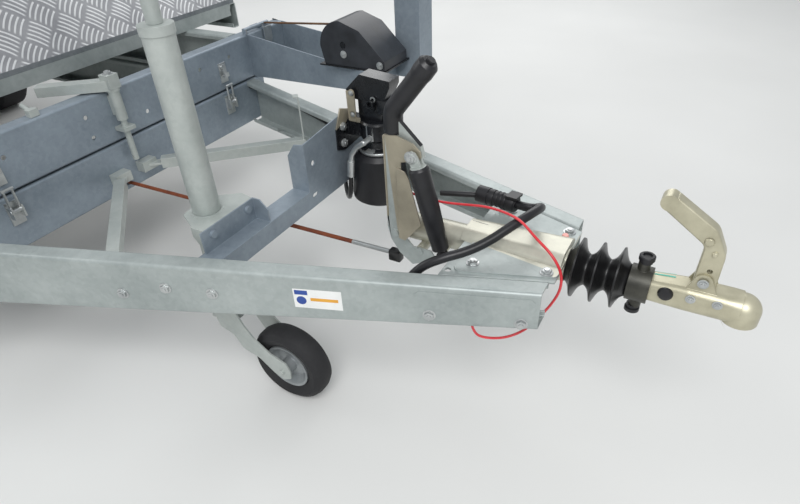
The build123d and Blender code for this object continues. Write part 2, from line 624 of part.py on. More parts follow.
def handbrake():
    """The handbrake stands beside the housing, with its spring cylinder outside the plate."""
    px, pz = HANDBRAKE_PIVOT
    y = HANDBRAKE_Y
    plate = side_plate(about(BRACKET_OUTLINE, px, pz), y, y + 4)
    plate += bar((px, y, pz), (px, y + 4, pz), 20)
    plate += block(px - 84, px - 80, y - 3, y + 36, pz - 193, pz + 41)
    plate += block(px - 40, px - 36, y - 20, y + 2, pz - 243, pz - 41)
    plate += side_plate(about(LEAF_OUTLINE, px, pz), y - 22, y - 18)
    plate -= bar((px, y - 1, pz), (px, y + 5, pz), 9 + RUN_GAP)
    for dx, dz in BRACKET_BOLTS:
        plate += bar((px + dx, y - 7, pz + dz), (px + dx, y + 1, pz + dz), BOLT_R)
    write("handbrake_bracket", plate)
    head_x, head_z = px + SPRING_HEAD[0], pz + SPRING_HEAD[1]
    foot_x, foot_z = px + SPRING_FOOT[0], pz + SPRING_FOOT[1]
    head, foot = Vector(head_x, SPRING_Y, head_z), Vector(foot_x, SPRING_Y, foot_z)
    way = (foot - head).normalized()
    length = (foot - head).length - SPRING_EYE_GAP
    low_r = SPRING_R - SPRING_TAPER
    lever = revolved([(0, 0), (SPRING_R - 6, 0), (SPRING_R, 8), (SPRING_R, length / 2), (low_r, length), (0, length)],
                     Plane(origin=head, z_dir=way))
    lever += bar(foot - way * (SPRING_EYE_GAP + 1), foot, 10)
    lever += bar((foot_x, SPRING_Y - 12, foot_z), (foot_x, SPRING_Y + 12, foot_z), SPRING_EYE_R)
    for ear_y in (y - 12, y + 5):
        lever += side_plate(about(CLEVIS_OUTLINE, px, pz), ear_y, ear_y + 8)
    lever += bar((px, y - 19, pz), (px, y - 12, pz), 13)
    lever += bar((px, y - 16, pz), (px, y + 20, pz), 9)
    lever -= bar((foot_x, SPRING_Y - 40, foot_z), (foot_x, SPRING_Y + 40, foot_z), 7 + SEAT_GAP)
    lever += side_plate(about(LEVER_ARM, px, pz), y + 12, y + 26)
    grip_y = y + 25
    points = [(px + dx, grip_y, pz + dz) for dx, dz in GRIP_ROUTE]
    path = FilletPolyline(*points, radius=45)
    lever += sweep(Plane(origin=path @ 0, z_dir=path % 0) * Circle(GRIP_R), path)
    tip = Vector(*points[-1])
    way = (tip - Vector(*points[-2])).normalized()
    lever += revolved([(0, -40), (GRIP_R, -40), (GRIP_R + 2, -24), (GRIP_R + 1, 0), (GRIP_R - 7, 9), (0, 9)],
                      Plane(origin=tip, z_dir=way))
    lever += bar(tip + way * 8, tip + way * 15, 11)
    write("handbrake_lever", lever)
    front = Vector(HOUSING_BACK - 10, -44, -112)
    way = Vector(*ROD_START) - front
    axle_face = axle_places()[0] + AXLE_LEAD + AXLE_TUBE / 2 + SEAT_GAP
    back = front + way * ((axle_face - front.X) / way.X)
    write("brake_rod", bar(front, back, ROD_R))


def hand_pump():
    """A hydraulic hand pump with its oil tank hangs on the left of the cross piece."""
    x, y = PUMP_X, PUMP_Y
    body = side_plate(about(PUMP_HEAD, x, 0), y - 26, y + 34)
    body += bar((x, y + 4, 140), (x, y + 4, 216), 15)
    body += bar((x + 42, y + 4, 140), (x + 42, y + 4, 226), 8)
    body += bar((x + 3, y - 44, 209), (x + 3, y + 40, 209), 13)
    body -= bar((x + 3, y - 50, 209), (x + 3, y - 10, 209), 8)
    body += side_plate(about([(-84, 238), (-56, 238), (-54, 144), (-82, 144)], x, 0), y - 34, y - 30)
    body += bar((x - 70, y - 38, 225), (x - 70, y - 20, 225), 9)
    body += block(x - 82, x - 40, y - 30, y + 4, 140, 158)
    body += revolved([(0, PUMP_SEAT + SEAT_GAP), (54, PUMP_SEAT + SEAT_GAP), (56, PUMP_SEAT + 4),
                      (56, PUMP_SEAT + 12), (42, PUMP_SEAT + 18), (42, 86), (52, 96), (52, 144), (46, 150), (0, 150)],
                     Plane(origin=(x, y, 0)))
    face = CROSSMEMBER_X + SEAT_GAP
    body += side_plate_yz([(187, 189), (234, 172), (303, 60), (192, 50), (154, 64), (156, 131)], face, face + 5)
    body += block(face, x - 30, y - 24, y + 24, 92, 142)
    for bolt_y, z in ((190, 130), (187, 76)):
        body += bolt_x(face + 5, bolt_y, z)
    elbow = [(x + 3, y - 42, 106), (x + 3, HOSE_Y, 106), (x - 24, HOSE_Y, 88), (x - 44, HOSE_Y, 60),
             (x - 50, HOSE_Y, 36)]
    for start, end in zip(elbow, elbow[1:]):
        body += bar(start, end, 9)
        body += Pos(*end) * Sphere(9)
    body += bar(elbow[-1], HOSE_ROUTE[0], 12)
    write("hand_pump", body)
    low = PUMP_SEAT - TANK_H
    tank = revolved([(0, low), (TANK_R - 12, low), (TANK_R - 2, low + 8), (TANK_R, low + 20),
                     (TANK_TOP_R, PUMP_SEAT - 14), (TANK_TOP_R - 12, PUMP_SEAT), (0, PUMP_SEAT)],
                    Plane(origin=(x, y, 0)))
    write("pump_tank", tank)


def cover_face(inset, base):
    """The winch cover's outline in x and z, drawn in by inset, with its foot at base."""
    cx, axis = WINCH_CENTRE[0], BED_TOP + WINCH_AXIS
    y, radius, middle, back = COVER_NEAR_Y + inset, COVER_R - inset, cx - 7, cx + 168 - inset
    level = axis - 10
    bend = radius * math.sqrt(0.5)
    arc = ThreePointArc((middle - radius, y, level), (middle - bend, y, level + bend), (middle, y, level + radius))
    rest = Polyline((middle, y, level + radius), (cx + 71, y, axis + 54 - inset), (back, y, axis - 40 - inset / 2),
                    (back, y, base), (cx - 83 + inset, y, base), (middle - radius, y, level))
    return make_face([arc, rest])


def winch():
    """Two tapered arms carry the winch and its post ahead of the bed's front beam."""
    angle = math.radians(WINCH_ANGLE)
    px, py = WINCH_POST
    arms = []
    for y0 in (RAIL_Y, UPPER_HALF - 6):
        seat = Plane(origin=(CROSSBEAM_X, y0, 0), x_dir=(math.cos(angle), -math.sin(angle), 0),
                     z_dir=(0, 0, 1))
        outline = Polyline((-6, 0, BED_BOTTOM), (640, 0, 96), (WINCH_ARM, 0, 120),
                           (WINCH_ARM, 0, BED_TOP), (-6, 0, BED_TOP), close=True)
        arm = seat * extrude(make_face(outline), amount=5, dir=(0, 1, 0))
        arms.append(arm & block(CROSSBEAM_X, px - 50, 0, 1100, -10, 300))
    inner_y = RAIL_Y - math.tan(angle) * (px - 50 - CROSSBEAM_X)
    end_plate = block(px - 55, px - 50, inner_y, inner_y + UPPER_HALF - RAIL_Y, 120, BED_TOP)
    write("winch_arms", arms[0] + end_plate + arms[1])
    post = block(px - 50, px + 50, py - 50, py + 50, 118, WINCH_POST_TOP)
    post -= block(px - 45, px + 45, py - 45, py + 45, 120, WINCH_POST_TOP - 5)
    write("winch_post", post)
    cx, cy = WINCH_CENTRE
    axis = BED_TOP + WINCH_AXIS
    near, far = COVER_NEAR_Y, 2 * cy - COVER_NEAR_Y
    frame = block(cx - 105, px - 55, near - 4, py + 40, BED_TOP, BED_TOP + 5)
    frame += block(px - 56, cx + 172, near - 4, py - 52, BED_TOP, BED_TOP + 5)
    for side in (-1, 1):
        frame += block(cx - 55, cx + 60, cy + side * 62 - 3, cy + side * 62 + 3, BED_TOP + 5, axis + 34)
    frame += bar((cx, cy - 64, axis), (cx, cy + 64, axis), DRUM_ROPE_R)
    frame += bar((cx, near + 1, axis), (cx, cy, axis), 12)
    write("winch", frame)
    base = BED_TOP + SHEET + SEAT_GAP
    shell = extrude(cover_face(0, base), amount=far - near, dir=(0, 1, 0))
    shell -= extrude(cover_face(4, base - 20), amount=far - near - 8, dir=(0, 1, 0))
    shell -= block(cx - 110, cx - 50, cy - 5, far + 1, axis - 4, axis + 56)
    shell -= bar((cx, near - 1, axis), (cx, near + 6, axis), 12.5)
    write("winch_cover", shell)
    rope_top = (cx, cy + 35, axis + DRUM_ROPE_R + ROPE_R + SEAT_GAP)
    write("winch_rope", bar(rope_top, (CROSSBEAM_X + 2, ROPE_END_Y - 4, BED_TOP + 20), ROPE_R))


def latch():
    """A sprung pin before the bed's beam, and the lever above it that lifts the pin."""
    x, y = LATCH_SPOT
    seat_x, seat_z = CROSSBEAM_X + SEAT_GAP, BED_TOP + SEAT_GAP
    body = block(seat_x, x + 24, y - 25, y + 25, 46, 60)
    body += block(seat_x, x, y - 14, y + 14, 100, 170)
    body += bar((x, y, 84), (x, y, BED_TOP - 1), 19)
    body += bar((x, y, LATCH_FOOT), (x, y, 90), 11)
    body += bar((x, y, BED_TOP - 1), (x, y, BED_TOP + 9), 23)
    body += block(x - 22, x + 22, y - 22, y + 22, BED_TOP + 9, BED_TOP + 57)
    body -= bar((x, y - 20, LATCH_FOOT + 14), (x, y + 20, LATCH_FOOT + 14), 4)
    tail = (x - 186, y - 150)
    run = Vector(tail[0] - x, tail[1] - y, 0)
    seat = Plane(origin=(x, y, BED_TOP + 22), x_dir=run, z_dir=(0, 0, 1))
    lever = seat * Pos(run.length / 2, 0, 0) * Box(run.length, 45, 33)
    lever -= seat * Pos(run.length / 2 + 14, 0, -4) * Box(run.length, 37, 33)
    body += lever
    body += block(CROSSBEAM_X - 34, CROSSBEAM_X - 10, y - 284, y - 252, seat_z, BED_TOP + 24)
    body += bar((CROSSBEAM_X - 22, y - 268, BED_TOP + 10), (CROSSBEAM_X - 100, y - 250, BED_TOP + 16), 8)
    body += block(CROSSBEAM_X - 52, CROSSBEAM_X - 44, y - 272, y - 252, seat_z, BED_TOP + 14)
    write("bed_latch", body)


def bed():
    """The bed is a floor of tread plate on cross bearers between side rails. A leaning board
    of the same plate stops the load at its front, in a shallow seat that is cut in the floor."""
    front, back = DECK_FRONT_X, REAR_X
    edge = SIDE_RAIL_Y - 6
    plate = block(back, front, -edge, edge, DECK_UNDER, DECK_RISE)
    foot = DECK_RISE - BOARD_SEAT + SEAT_GAP
    lean = math.radians(BOARD_LEAN)
    top_x, top_z = front - BOARD_RUN * math.cos(lean), foot + BOARD_RUN * math.sin(lean)
    outline = make_face(Polyline((front, foot), (top_x, top_z), (top_x - BOARD_CAP, top_z),
                                 (top_x - BOARD_CAP, foot), close=True))
    outline -= offset(outline, -SHEET)
    board = extrude(Plane(origin=(0, -edge, 0), x_dir=(1, 0, 0), z_dir=(0, -1, 0)) * outline,
                    amount=2 * edge, dir=(0, 1, 0))
    plate -= block(top_x - BOARD_CAP - 2 * SEAT_GAP, front + 1, -edge - 1, edge + 1,
                   DECK_RISE - BOARD_SEAT, DECK_RISE + 1)
    write("deck_plate", plate, board)
    bearers = []
    step = (DECK_LENGTH - BEARER_W) / (BEARER_COUNT - 1)
    half = SIDE_RAIL_Y - SIDE_RAIL_W
    for number in range(BEARER_COUNT):
        x1 = front - number * step
        bearer = block(x1 - BEARER_W, x1, -half, half, BED_TOP, DECK_UNDER)
        bearer -= block(x1 - BEARER_W + SHEET, x1 - SHEET, -half - 1, half + 1, BED_TOP - 1, DECK_UNDER - SHEET)
        bearers.append(bearer)
    write("bed_bearers", *bearers)
    seat = Plane(origin=(front, SIDE_RAIL_Y, DECK_UNDER), x_dir=(-1, 0, 0), z_dir=(0, 0, 1))
    side = seat * channel(DECK_LENGTH, SIDE_RAIL_H, SIDE_RAIL_W)
    write("side_rail_left", side)
    write("side_rail_right", mirrored(side))
    tail = block(back - TAIL_DEPTH, back, -SIDE_RAIL_Y, SIDE_RAIL_Y, DECK_UNDER - 120, DECK_UNDER)
    tail -= block(back - TAIL_DEPTH + SHEET, back - SHEET, -SIDE_RAIL_Y - 1, SIDE_RAIL_Y + 1,
                  DECK_UNDER - 120 + SHEET, DECK_UNDER - SHEET)
    write("tail_beam", tail)
    for name, side in (("left", 1), ("right", -1)):
        y0, y1 = sorted((side * (SIDE_RAIL_Y - 20), side * (SIDE_RAIL_Y - 300)))
        write(f"tail_lamp_{name}", block(back - TAIL_DEPTH - LAMP_DEPTH, back - TAIL_DEPTH, y0, y1,
                                         DECK_UNDER - 105, DECK_UNDER - 15))


def ram():
    """The ram between chassis and bed lifts the bed's front end."""
    (bx, bz), (ex, ez) = RAM_BASE, RAM_EYE
    base, eye = Vector(bx, 0, bz), Vector(ex, 0, ez)
    way = (eye - base).normalized()
    length = (eye - base).length
    barrel = bar(base + way * 38, base + way * (length - 90), RAM_BORE_R, RAM_ROD_R + RUN_GAP)
    barrel += bar(base + way * 38, base + way * 56, RAM_BORE_R)
    barrel += bar(base + way * 14, base + way * 40, RAM_ROD_R)
    barrel += bar((bx, -RAM_LUG / 2, bz), (bx, RAM_LUG / 2, bz), 22)
    barrel -= bar((bx, -RAM_LUG, bz), (bx, RAM_LUG, bz), RAM_PIN_R + RUN_GAP)
    write("ram_barrel", barrel)
    rod = bar(base + way * 62, eye - way * 14, RAM_ROD_R)
    rod += bar((ex, -RAM_LUG / 2, ez), (ex, RAM_LUG / 2, ez), 22)
    rod += bar((ex, -RAM_EAR_Y + 1, ez), (ex, RAM_EAR_Y - 1, ez), RAM_PIN_R)
    write("ram_rod", rod)
    inner = RAIL_Y - RAIL_W
    carrier = block(ex - 30, ex + 30, -inner, inner, BED_TOP - 60, BED_TOP)
    for side in (-1, 1):
        y0, y1 = sorted((side * RAM_EAR_Y, side * (RAM_EAR_Y + 10)))
        carrier += side_plate([(ex - 30, BED_TOP - 60), (ex - 22, ez), (ex, ez - 22), (ex + 22, ez),
                               (ex + 30, BED_TOP - 60)], y0, y1)
        carrier += bar((ex, side * (RAM_EAR_Y + 9), ez), (ex, side * (RAM_EAR_Y + 17), ez), RAM_PIN_R)
    write("ram_carrier", carrier)


def road_wheels():
    """Each wheel is a tyre on a drilled steel rim that is one with its brake drum."""
    w, half = TYRE_W / 2, RIM_W / 2
    tyre_points = [(RIM_R + SEAT_GAP, -half + 8), (RIM_R + SEAT_GAP, half - 8), (RIM_R + 16, half - 6),
                   (RIM_R + 24, half + 12), (TYRE_R - 46, w), (TYRE_R - 14, w - 4), (TYRE_R - 3, w - 15),
                   (TYRE_R, w - 34), (TYRE_R, 34 - w), (TYRE_R - 3, 15 - w), (TYRE_R - 14, 4 - w),
                   (TYRE_R - 46, -w), (RIM_R + 24, -half - 12), (RIM_R + 16, 6 - half)]
    rim_points = [(RIM_R + 12, half), (RIM_R + 12, half - 5), (RIM_R, half - 7), (RIM_R, 40),
                  (RIM_R - 16, 30), (RIM_R - 16, 0), (RIM_R, -12), (RIM_R, 7 - half),
                  (RIM_R + 12, 5 - half), (RIM_R + 12, -half), (RIM_R - 5, -half), (RIM_R - 5, -14),
                  (RIM_R - 21, -4), (RIM_R - 21, 16), (112, 30), (78, DISC_Y - 6), (0, DISC_Y - 6),
                  (0, DISC_Y), (74, DISC_Y), (110, 37), (RIM_R - 21, 26), (RIM_R - 5, 44), (RIM_R - 5, half)]
    for end, x in zip(("front", "rear"), axle_places()):
        for name, side in (("left", 1), ("right", -1)):
            seat = Plane(origin=(x, side * TRACK / 2, WHEEL_Z), z_dir=(0, side, 0))
            write(f"tyre_{end}_{name}", revolved(tyre_points, seat))
            rim = revolve(make_face(Polyline(*[(r, 0, h) for r, h in rim_points], close=True)), axis=Axis.Z)
            rim += Pos(0, 0, (DISC_Y - 6 - DRUM_DEPTH) / 2 + 0) * Cylinder(DRUM_R, DISC_Y - 6 + DRUM_DEPTH)
            rim += Pos(0, 0, DISC_Y + 14) * Cylinder(34, 28)
            rim -= Pos(0, 0, -DRUM_DEPTH / 2) * Cylinder(STUB_R + RUN_GAP, DRUM_DEPTH + 30)
            for place in PolarLocations(122, VENT_COUNT):
                rim -= place * Pos(0, 0, 30) * Cylinder(11, 60)
            write(f"rim_{end}_{name}", seat * rim)


def axles():
    """Each axle is a square rubber torsion tube with trailing arms and brake back plates."""
    for end, x in zip(("front", "rear"), axle_places()):
        tube_x = x + AXLE_LEAD
        tube_z = -CROSS_H - 8 - AXLE_TUBE / 2
        face = RAIL_Y + 5
        axle = block(tube_x - AXLE_TUBE / 2, tube_x + AXLE_TUBE / 2, -face, face,
                     tube_z - AXLE_TUBE / 2, tube_z + AXLE_TUBE / 2)
        for side in (-1, 1):
            y0, y1 = sorted((side * face, side * (face + ARM_T)))
            axle += side_plate([(tube_x + 46, tube_z + 20), (tube_x + 20, tube_z + 46),
                                (tube_x - 30, tube_z + 44), (x - 34, WHEEL_Z + 22), (x - 34, WHEEL_Z - 28),
                                (x + 20, WHEEL_Z - 36), (tube_x + 24, tube_z - 44)], y0, y1)
            axle += bar((x, side * face, WHEEL_Z), (x, side * (TRACK / 2 + 6), WHEEL_Z), STUB_R)
            plate_y = TRACK / 2 - DRUM_DEPTH - 14
            axle += bar((x, side * plate_y, WHEEL_Z), (x, side * (plate_y + 6), WHEEL_Z), DRUM_R + 10)
        write(f"axle_{end}", axle)


def cord(name, points, radius):
    """A round cord along straight runs joined by arcs as large as the runs allow."""
    spots = [Vector(*p) for p in points]
    radii = []
    for before, at, after in zip(spots, spots[1:], spots[2:]):
        turn = (at - before).get_angle(after - at)
        shorter = min((at - before).length, (after - at).length)
        radii.append(0.45 * shorter / math.tan(math.radians(turn / 2)))
    path = FilletPolyline(*spots, radius=radii)
    tube = sweep(Plane(origin=path @ 0, z_dir=path % 0) * Circle(radius), path)
    write(name, tube)
    exact = math.pi * radius ** 2 * path.length
    print(f"{name}: {path.length:.0f} mm long, tightest radius {min(radii):.0f} mm,"
          f" volume {tube.volume / exact:.4f} of section times length")


def cords():
    cord("lead", LEAD_ROUTE, LEAD_R)
    cord("breakaway_cable", BREAKAWAY_ROUTE, BREAKAWAY_R)
    cord("pump_hose", HOSE_ROUTE, HOSE_R)


def plug():
    """The lead's plug is parked in a holder on the housing."""
    (x0, y0, z0), (x1, y1, z1) = PLUG_ENDS
    body = bar((x0, y0, z0), (x1, y1, z1), PLUG_R)
    body += bar((x0, y0, z0), (x0 - 34, y0 + 4, z0), 24)
    write("lead_plug", body)


drawbar()
crossbeams()
rails()
chassis_crossmembers()
drawbar_struts()
drawbar_crossmember()
jockey()
overrun()
handbrake()
hand_pump()
winch()
latch()
bed()
ram()
road_wheels()
axles()
cords()
plug()
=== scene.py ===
import bmesh
import bpy
import json
import math
from mathutils import Matrix, Vector
from mathutils.bvhtree import BVHTree


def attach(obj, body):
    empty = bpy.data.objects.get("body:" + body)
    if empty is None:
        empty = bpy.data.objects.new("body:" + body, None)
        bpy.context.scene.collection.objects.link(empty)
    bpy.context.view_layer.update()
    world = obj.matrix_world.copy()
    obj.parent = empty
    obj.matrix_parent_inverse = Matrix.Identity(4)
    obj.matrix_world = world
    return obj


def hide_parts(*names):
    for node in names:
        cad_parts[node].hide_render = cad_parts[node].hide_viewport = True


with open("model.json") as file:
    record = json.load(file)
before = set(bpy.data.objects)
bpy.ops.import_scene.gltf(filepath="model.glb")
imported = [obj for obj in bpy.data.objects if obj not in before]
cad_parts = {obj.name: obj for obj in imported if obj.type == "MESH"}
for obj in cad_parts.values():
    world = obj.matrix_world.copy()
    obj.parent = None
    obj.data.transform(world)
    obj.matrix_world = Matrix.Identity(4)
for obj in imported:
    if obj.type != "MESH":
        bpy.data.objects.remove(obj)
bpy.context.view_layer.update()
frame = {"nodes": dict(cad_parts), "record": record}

# Places in the trailer's own frame, in metres: +X to the coupling, +Y to its left, +Z up.
# The drawing's x = 0 is the drawbar's front end, and its z = 0 the drawbar's top.
DRAWBAR_FRONT = 3.0345
DRAWBAR_TOP = 0.560

# The photograph's camera, solved from the drawbar's straight edges
CAMERA_AT = Vector((3.2788, -1.2244, 1.4157))
CAMERA_YAW = 30.653
CAMERA_PITCH = 37.19
CAMERA_ROLL = -2.947
FOCAL_PIXELS = 582.1
IMAGE_WIDTH = 800
AXIS_BELOW_MIDDLE = 22.2

# The drawing's sizes that the details here sit on, in millimetres and degrees. The handbrake's
# pivot is an x and a z, and its spring's ends are counted from there.
DRAWBAR_HALF = 183
DRAWBAR_ANGLE = 19
CROSSBEAM_X = -1630
BED_TOP = 187
COUPLING_Z = -30
BELLOWS_START = 12
BELLOWS_LENGTH = 148
BELLOWS_R = 76
BELLOWS_ROOT = 40
BELLOWS_FOLDS = 3
END_LIP_R = 31
HANDBRAKE_PIVOT = (-394, 213)
HANDBRAKE_Y = -56
ROD_FRONT = (-480, -44, -112)
ROD_REAR = (-1630, -26, -150)
ROD_THREAD = 135
SPRING_HEAD = (18.6, -22)
SPRING_FOOT = (86, -268)
SPRING_Y = -64
LEAF_LOW = 228
PUMP_X = -681
PUMP_Y = 244
PUMP_FACE_X = -774.7
TANK_TOP = 49
BOARD_FOOT = 256
BOARD_EDGE_X = -1930.5
BOARD_LEAN = 55
DECK_SKIN = 258.5

# Bolts and labels on the near web, as distance from the beam's front end and height
WEB_BOLTS = ((39, -92), (260, -88), (827, -77), (957, -71), (1090, -101))
WEB_PAD = ((11, -26), (21, -16), (286, -16), (296, -26), (296, -94), (286, -103), (21, -103), (11, -94))
LABEL = ((478, -38), (604, -38), (604, -98), (478, -98))
LABEL_BLOCK = ((566, -42), (600, -42), (600, -56), (566, -56))
LABEL_STRIPE = ((488, -64), (560, -64), (560, -74), (488, -74))
LABEL_SPOT = (584, -74)
LABEL_SPOT_R = 13

# Bolts, caps and labels: what is on a top has its x and y, what is on a near side its x and z.
# A rivet has its radius too. Lines that find a surface start OUTSIDE from the coupling's axis.
HOUSING_BOLTS = ((-190, 138), (-16, 98))
HOUSING_CAP = (-17, 58)
HOUSING_LABEL = ((-256, 18), (-212, 13), (-207, 58), (-250, 60))
WEAR_STRIP = ((212, 8), (258, 8), (258, 27), (212, 27))
HEAD_BOLTS = ((299, -12), (354, -9))
DUST_CAP = (246, -16)
HANDLE_BOLT = (314, 30)
HANDLE_RIVETS = ((300, 132, 10), (318, 104, 6))
OUTSIDE = 120

# Bolts whose place is given in full, and the pump's bracket bolts as y and z
LATCH_BOLT = (-1604, 20, BED_TOP + 57)
COVER_BOLTS = ((-979, 525, 234), (-831, 525, 211))
PUMP_BRACKET_BOLTS = ((190, 130), (187, 76))

# The pump's link: its place from the pump's middle, its ends' heights, half width and thickness
LINK_X = PUMP_X - 62
LINK_Y = PUMP_Y - 35
LINK_TOP = 235
LINK_FOOT = 168
LINK_HALF = 11
LINK_THICK = 3.5

# The lead's plug: its ends, its rings as place along it, radius and width, and its holder
PLUG_ENDS = ((-252, 122, 40), (-168, 111.3, 40))
PLUG_RINGS = ((2, 23, 16), (26, 22.5, 5), (38, 22.5, 5), (50, 22.5, 5), (62, 23, 18))
HOLDER_LID = ((-198, 96, 61), (-166, 92, 61), (-160, 128, 61), (-192, 132, 61))
BOOT_END = (-385, 82, 40)

# The cords' sizes in metres, and their routes as the CAD model has them
LEAD_R = 0.012
BREAKAWAY_R = 0.0034
HOSE_R = 0.0075
LEAD_ROUTE = ((-167.7, 111.3, 40), (-126, 106, 40), (-94, 88, 64), (-88, 44, 84), (-102, -4, 86),
              (-130, -50, 72), (-164, -98, 50), (-204, -142, 34), (-250, -180, 26), (-300, -204, 0),
              (-334, -222, -50), (-384, -262, -90), (-470, -308, -104), (-1000, -493, -112),
              (-1566, -694, -112), (-1629.7, -694, -112))
BREAKAWAY_ROUTE = ((-452, -51.7, 92), (-450, -36, 90), (-432, -20, 84), (-396, -10, 74),
                   (-340, -4, 66), (-268, 4, 72), (-212, -2, 84),
                   (-152, -22, 92), (-104, -46, 94), (-58, -80, 80), (-8, -102, 60), (22, -110, 22),
                   (26, -110, -24), (12, -106, -74), (-12, -108, -124), (-40, -128, -168),
                   (-80, -158, -188), (-122, -188, -182), (-148, -212, -158), (-152, -222, -117.6))
HOSE_ROUTE = ((-737, 155, -18), (-741, 155, -54), (-752, 162, -98), (-782, 194, -128),
              (-826, 244, -126), (-868, 306, -100), (-930, 400, -70), (-1010, 492, -52), (-1120, 548, -44),
              (-1572, 702, -27), (-1629.7, 702, -27))

# The stage in metres: the floor's half width, and each lamp's name, place, target, size and
# power in watts
FLOOR_HALF = 14
SKY_STRENGTH = 0.62
LAMPS = (("key", (4.5, -3.5, 5.0), (1.8, 0.0, 0.5), 3.0, 230),
         ("fill", (1.0, 5.0, 4.0), (1.5, 0.0, 0.4), 4.0, 120),
         ("back", (-4.5, -1.5, 4.5), (-0.5, 0.0, 0.6), 4.0, 160))

# Each node's body and slot from the record, and the trees that surface() has built so far
BODY_OF = {node: body for body, nodes in frame["record"]["behaviour"]["bodies"].items() for node in nodes}
SLOT_OF = {part["node"]: part["material_slot"] for part in frame["record"]["subparts"]}
TREES = {}

FORWARD, LEFT, UP = Vector((1, 0, 0)), Vector((0, 1, 0)), Vector((0, 0, 1))

# Patterns' repeats to the metre. Zinc crystals are 12 mm across and a tread cell is 86 mm.
# The grains are really finer than 0.5 mm, and are drawn at 2.5 to 6 mm so that they show.
CRYSTALS = 85.0
TREAD_CELLS = 11.63
ZINC_GRAIN = 240.0
COAT_GRAIN = 400.0

# The tread pattern's sums: each row's name, its operation and what goes in. p and q count
# cells along two diagonals. A cell's bars run across or along it, by turns, and are bowed.
TREAD_STEPS = (
    ("u", "FRACT", "p"), ("v", "FRACT", "q"),
    ("column", "FLOOR", "p"), ("row", "FLOOR", "q"), ("number", "ADD", "column", "row"),
    ("halved", "MULTIPLY", "number", 0.5), ("rest", "FRACT", "halved"),
    ("odd", "GREATER_THAN", "rest", 0.25), ("even", "SUBTRACT", 1.0, "odd"),
    ("u odd", "MULTIPLY", "u", "odd"), ("v even", "MULTIPLY", "v", "even"),
    ("across", "ADD", "u odd", "v even"),
    ("v odd", "MULTIPLY", "v", "odd"), ("u even", "MULTIPLY", "u", "even"),
    ("along", "ADD", "v odd", "u even"),
    ("half turn", "MULTIPLY", "along", math.pi), ("arch", "SINE", "half turn"),
    ("bow", "MULTIPLY", "arch", 0.05), ("bent", "ADD", "across", "bow"),
    ("bars", "MULTIPLY", "bent", 5.0), ("bar", "FRACT", "bars"), ("off bar", "SUBTRACT", "bar", 0.5),
    ("beside", "ABSOLUTE", "off bar"), ("width", "MULTIPLY", "beside", 4.4),
    ("off middle", "SUBTRACT", "along", 0.5), ("beyond", "ABSOLUTE", "off middle"),
    ("length", "MULTIPLY", "beyond", 2.15), ("reach", "MAXIMUM", "width", "length"))


def place(x, y, z):
    """A point of the drawing, in millimetres, as a place in the trailer's frame."""
    return Vector((DRAWBAR_FRONT + x / 1000, y / 1000, DRAWBAR_TOP + z / 1000))


def drawn(point):
    """A place in the trailer's frame as a point of the drawing, in millimetres."""
    return Vector(((point.x - DRAWBAR_FRONT) * 1000, point.y * 1000, (point.z - DRAWBAR_TOP) * 1000))


def on_web(s, z, out=0.0):
    """A point on the near beam's web, s along it from its front end, in the drawing."""
    angle = math.radians(DRAWBAR_ANGLE)
    return Vector((-s * math.cos(angle) + out * math.sin(angle),
                   -DRAWBAR_HALF - s * math.sin(angle) - out * math.cos(angle), z))


WEB_OUT = on_web(0, 0, 1) - on_web(0, 0, 0)


def linear(code):
    """An sRGB hex colour as linear red, green, blue and alpha."""
    parts = [int(code[i:i + 2], 16) / 255 for i in (1, 3, 5)]
    return [p / 12.92 if p <= 0.04045 else ((p + 0.055) / 1.055) ** 2.4 for p in parts] + [1]


def add_node(tree, kind, values=None, links=None, stops=(), **settings):
    """Adds a node with its settings, its sockets' values and the links that feed it. A colour
    ramp also takes its two stops, as place and hex colour."""
    node = tree.nodes.new(kind)
    for name, value in settings.items():
        setattr(node, name, value)
    for name, value in (values or {}).items():
        node.inputs[name].default_value = value
    for name, source in (links or {}).items():
        tree.links.new(source, node.inputs[name])
    for number, (position, code) in enumerate(stops):
        node.color_ramp.elements[number].position = position
        node.color_ramp.elements[number].color = linear(code)
    return node


def start_material(name):
    """A material with its shader and its Object coordinates, ready for a pattern."""
    material = bpy.data.materials.new(name)
    material.use_nodes = True
    tree = material.node_tree
    tree.nodes.clear()
    shader = add_node(tree, "ShaderNodeBsdfPrincipled")
    add_node(tree, "ShaderNodeOutputMaterial", links={"Surface": shader.outputs["BSDF"]})
    where = add_node(tree, "ShaderNodeTexCoord").outputs["Object"]
    return material, tree, shader, where


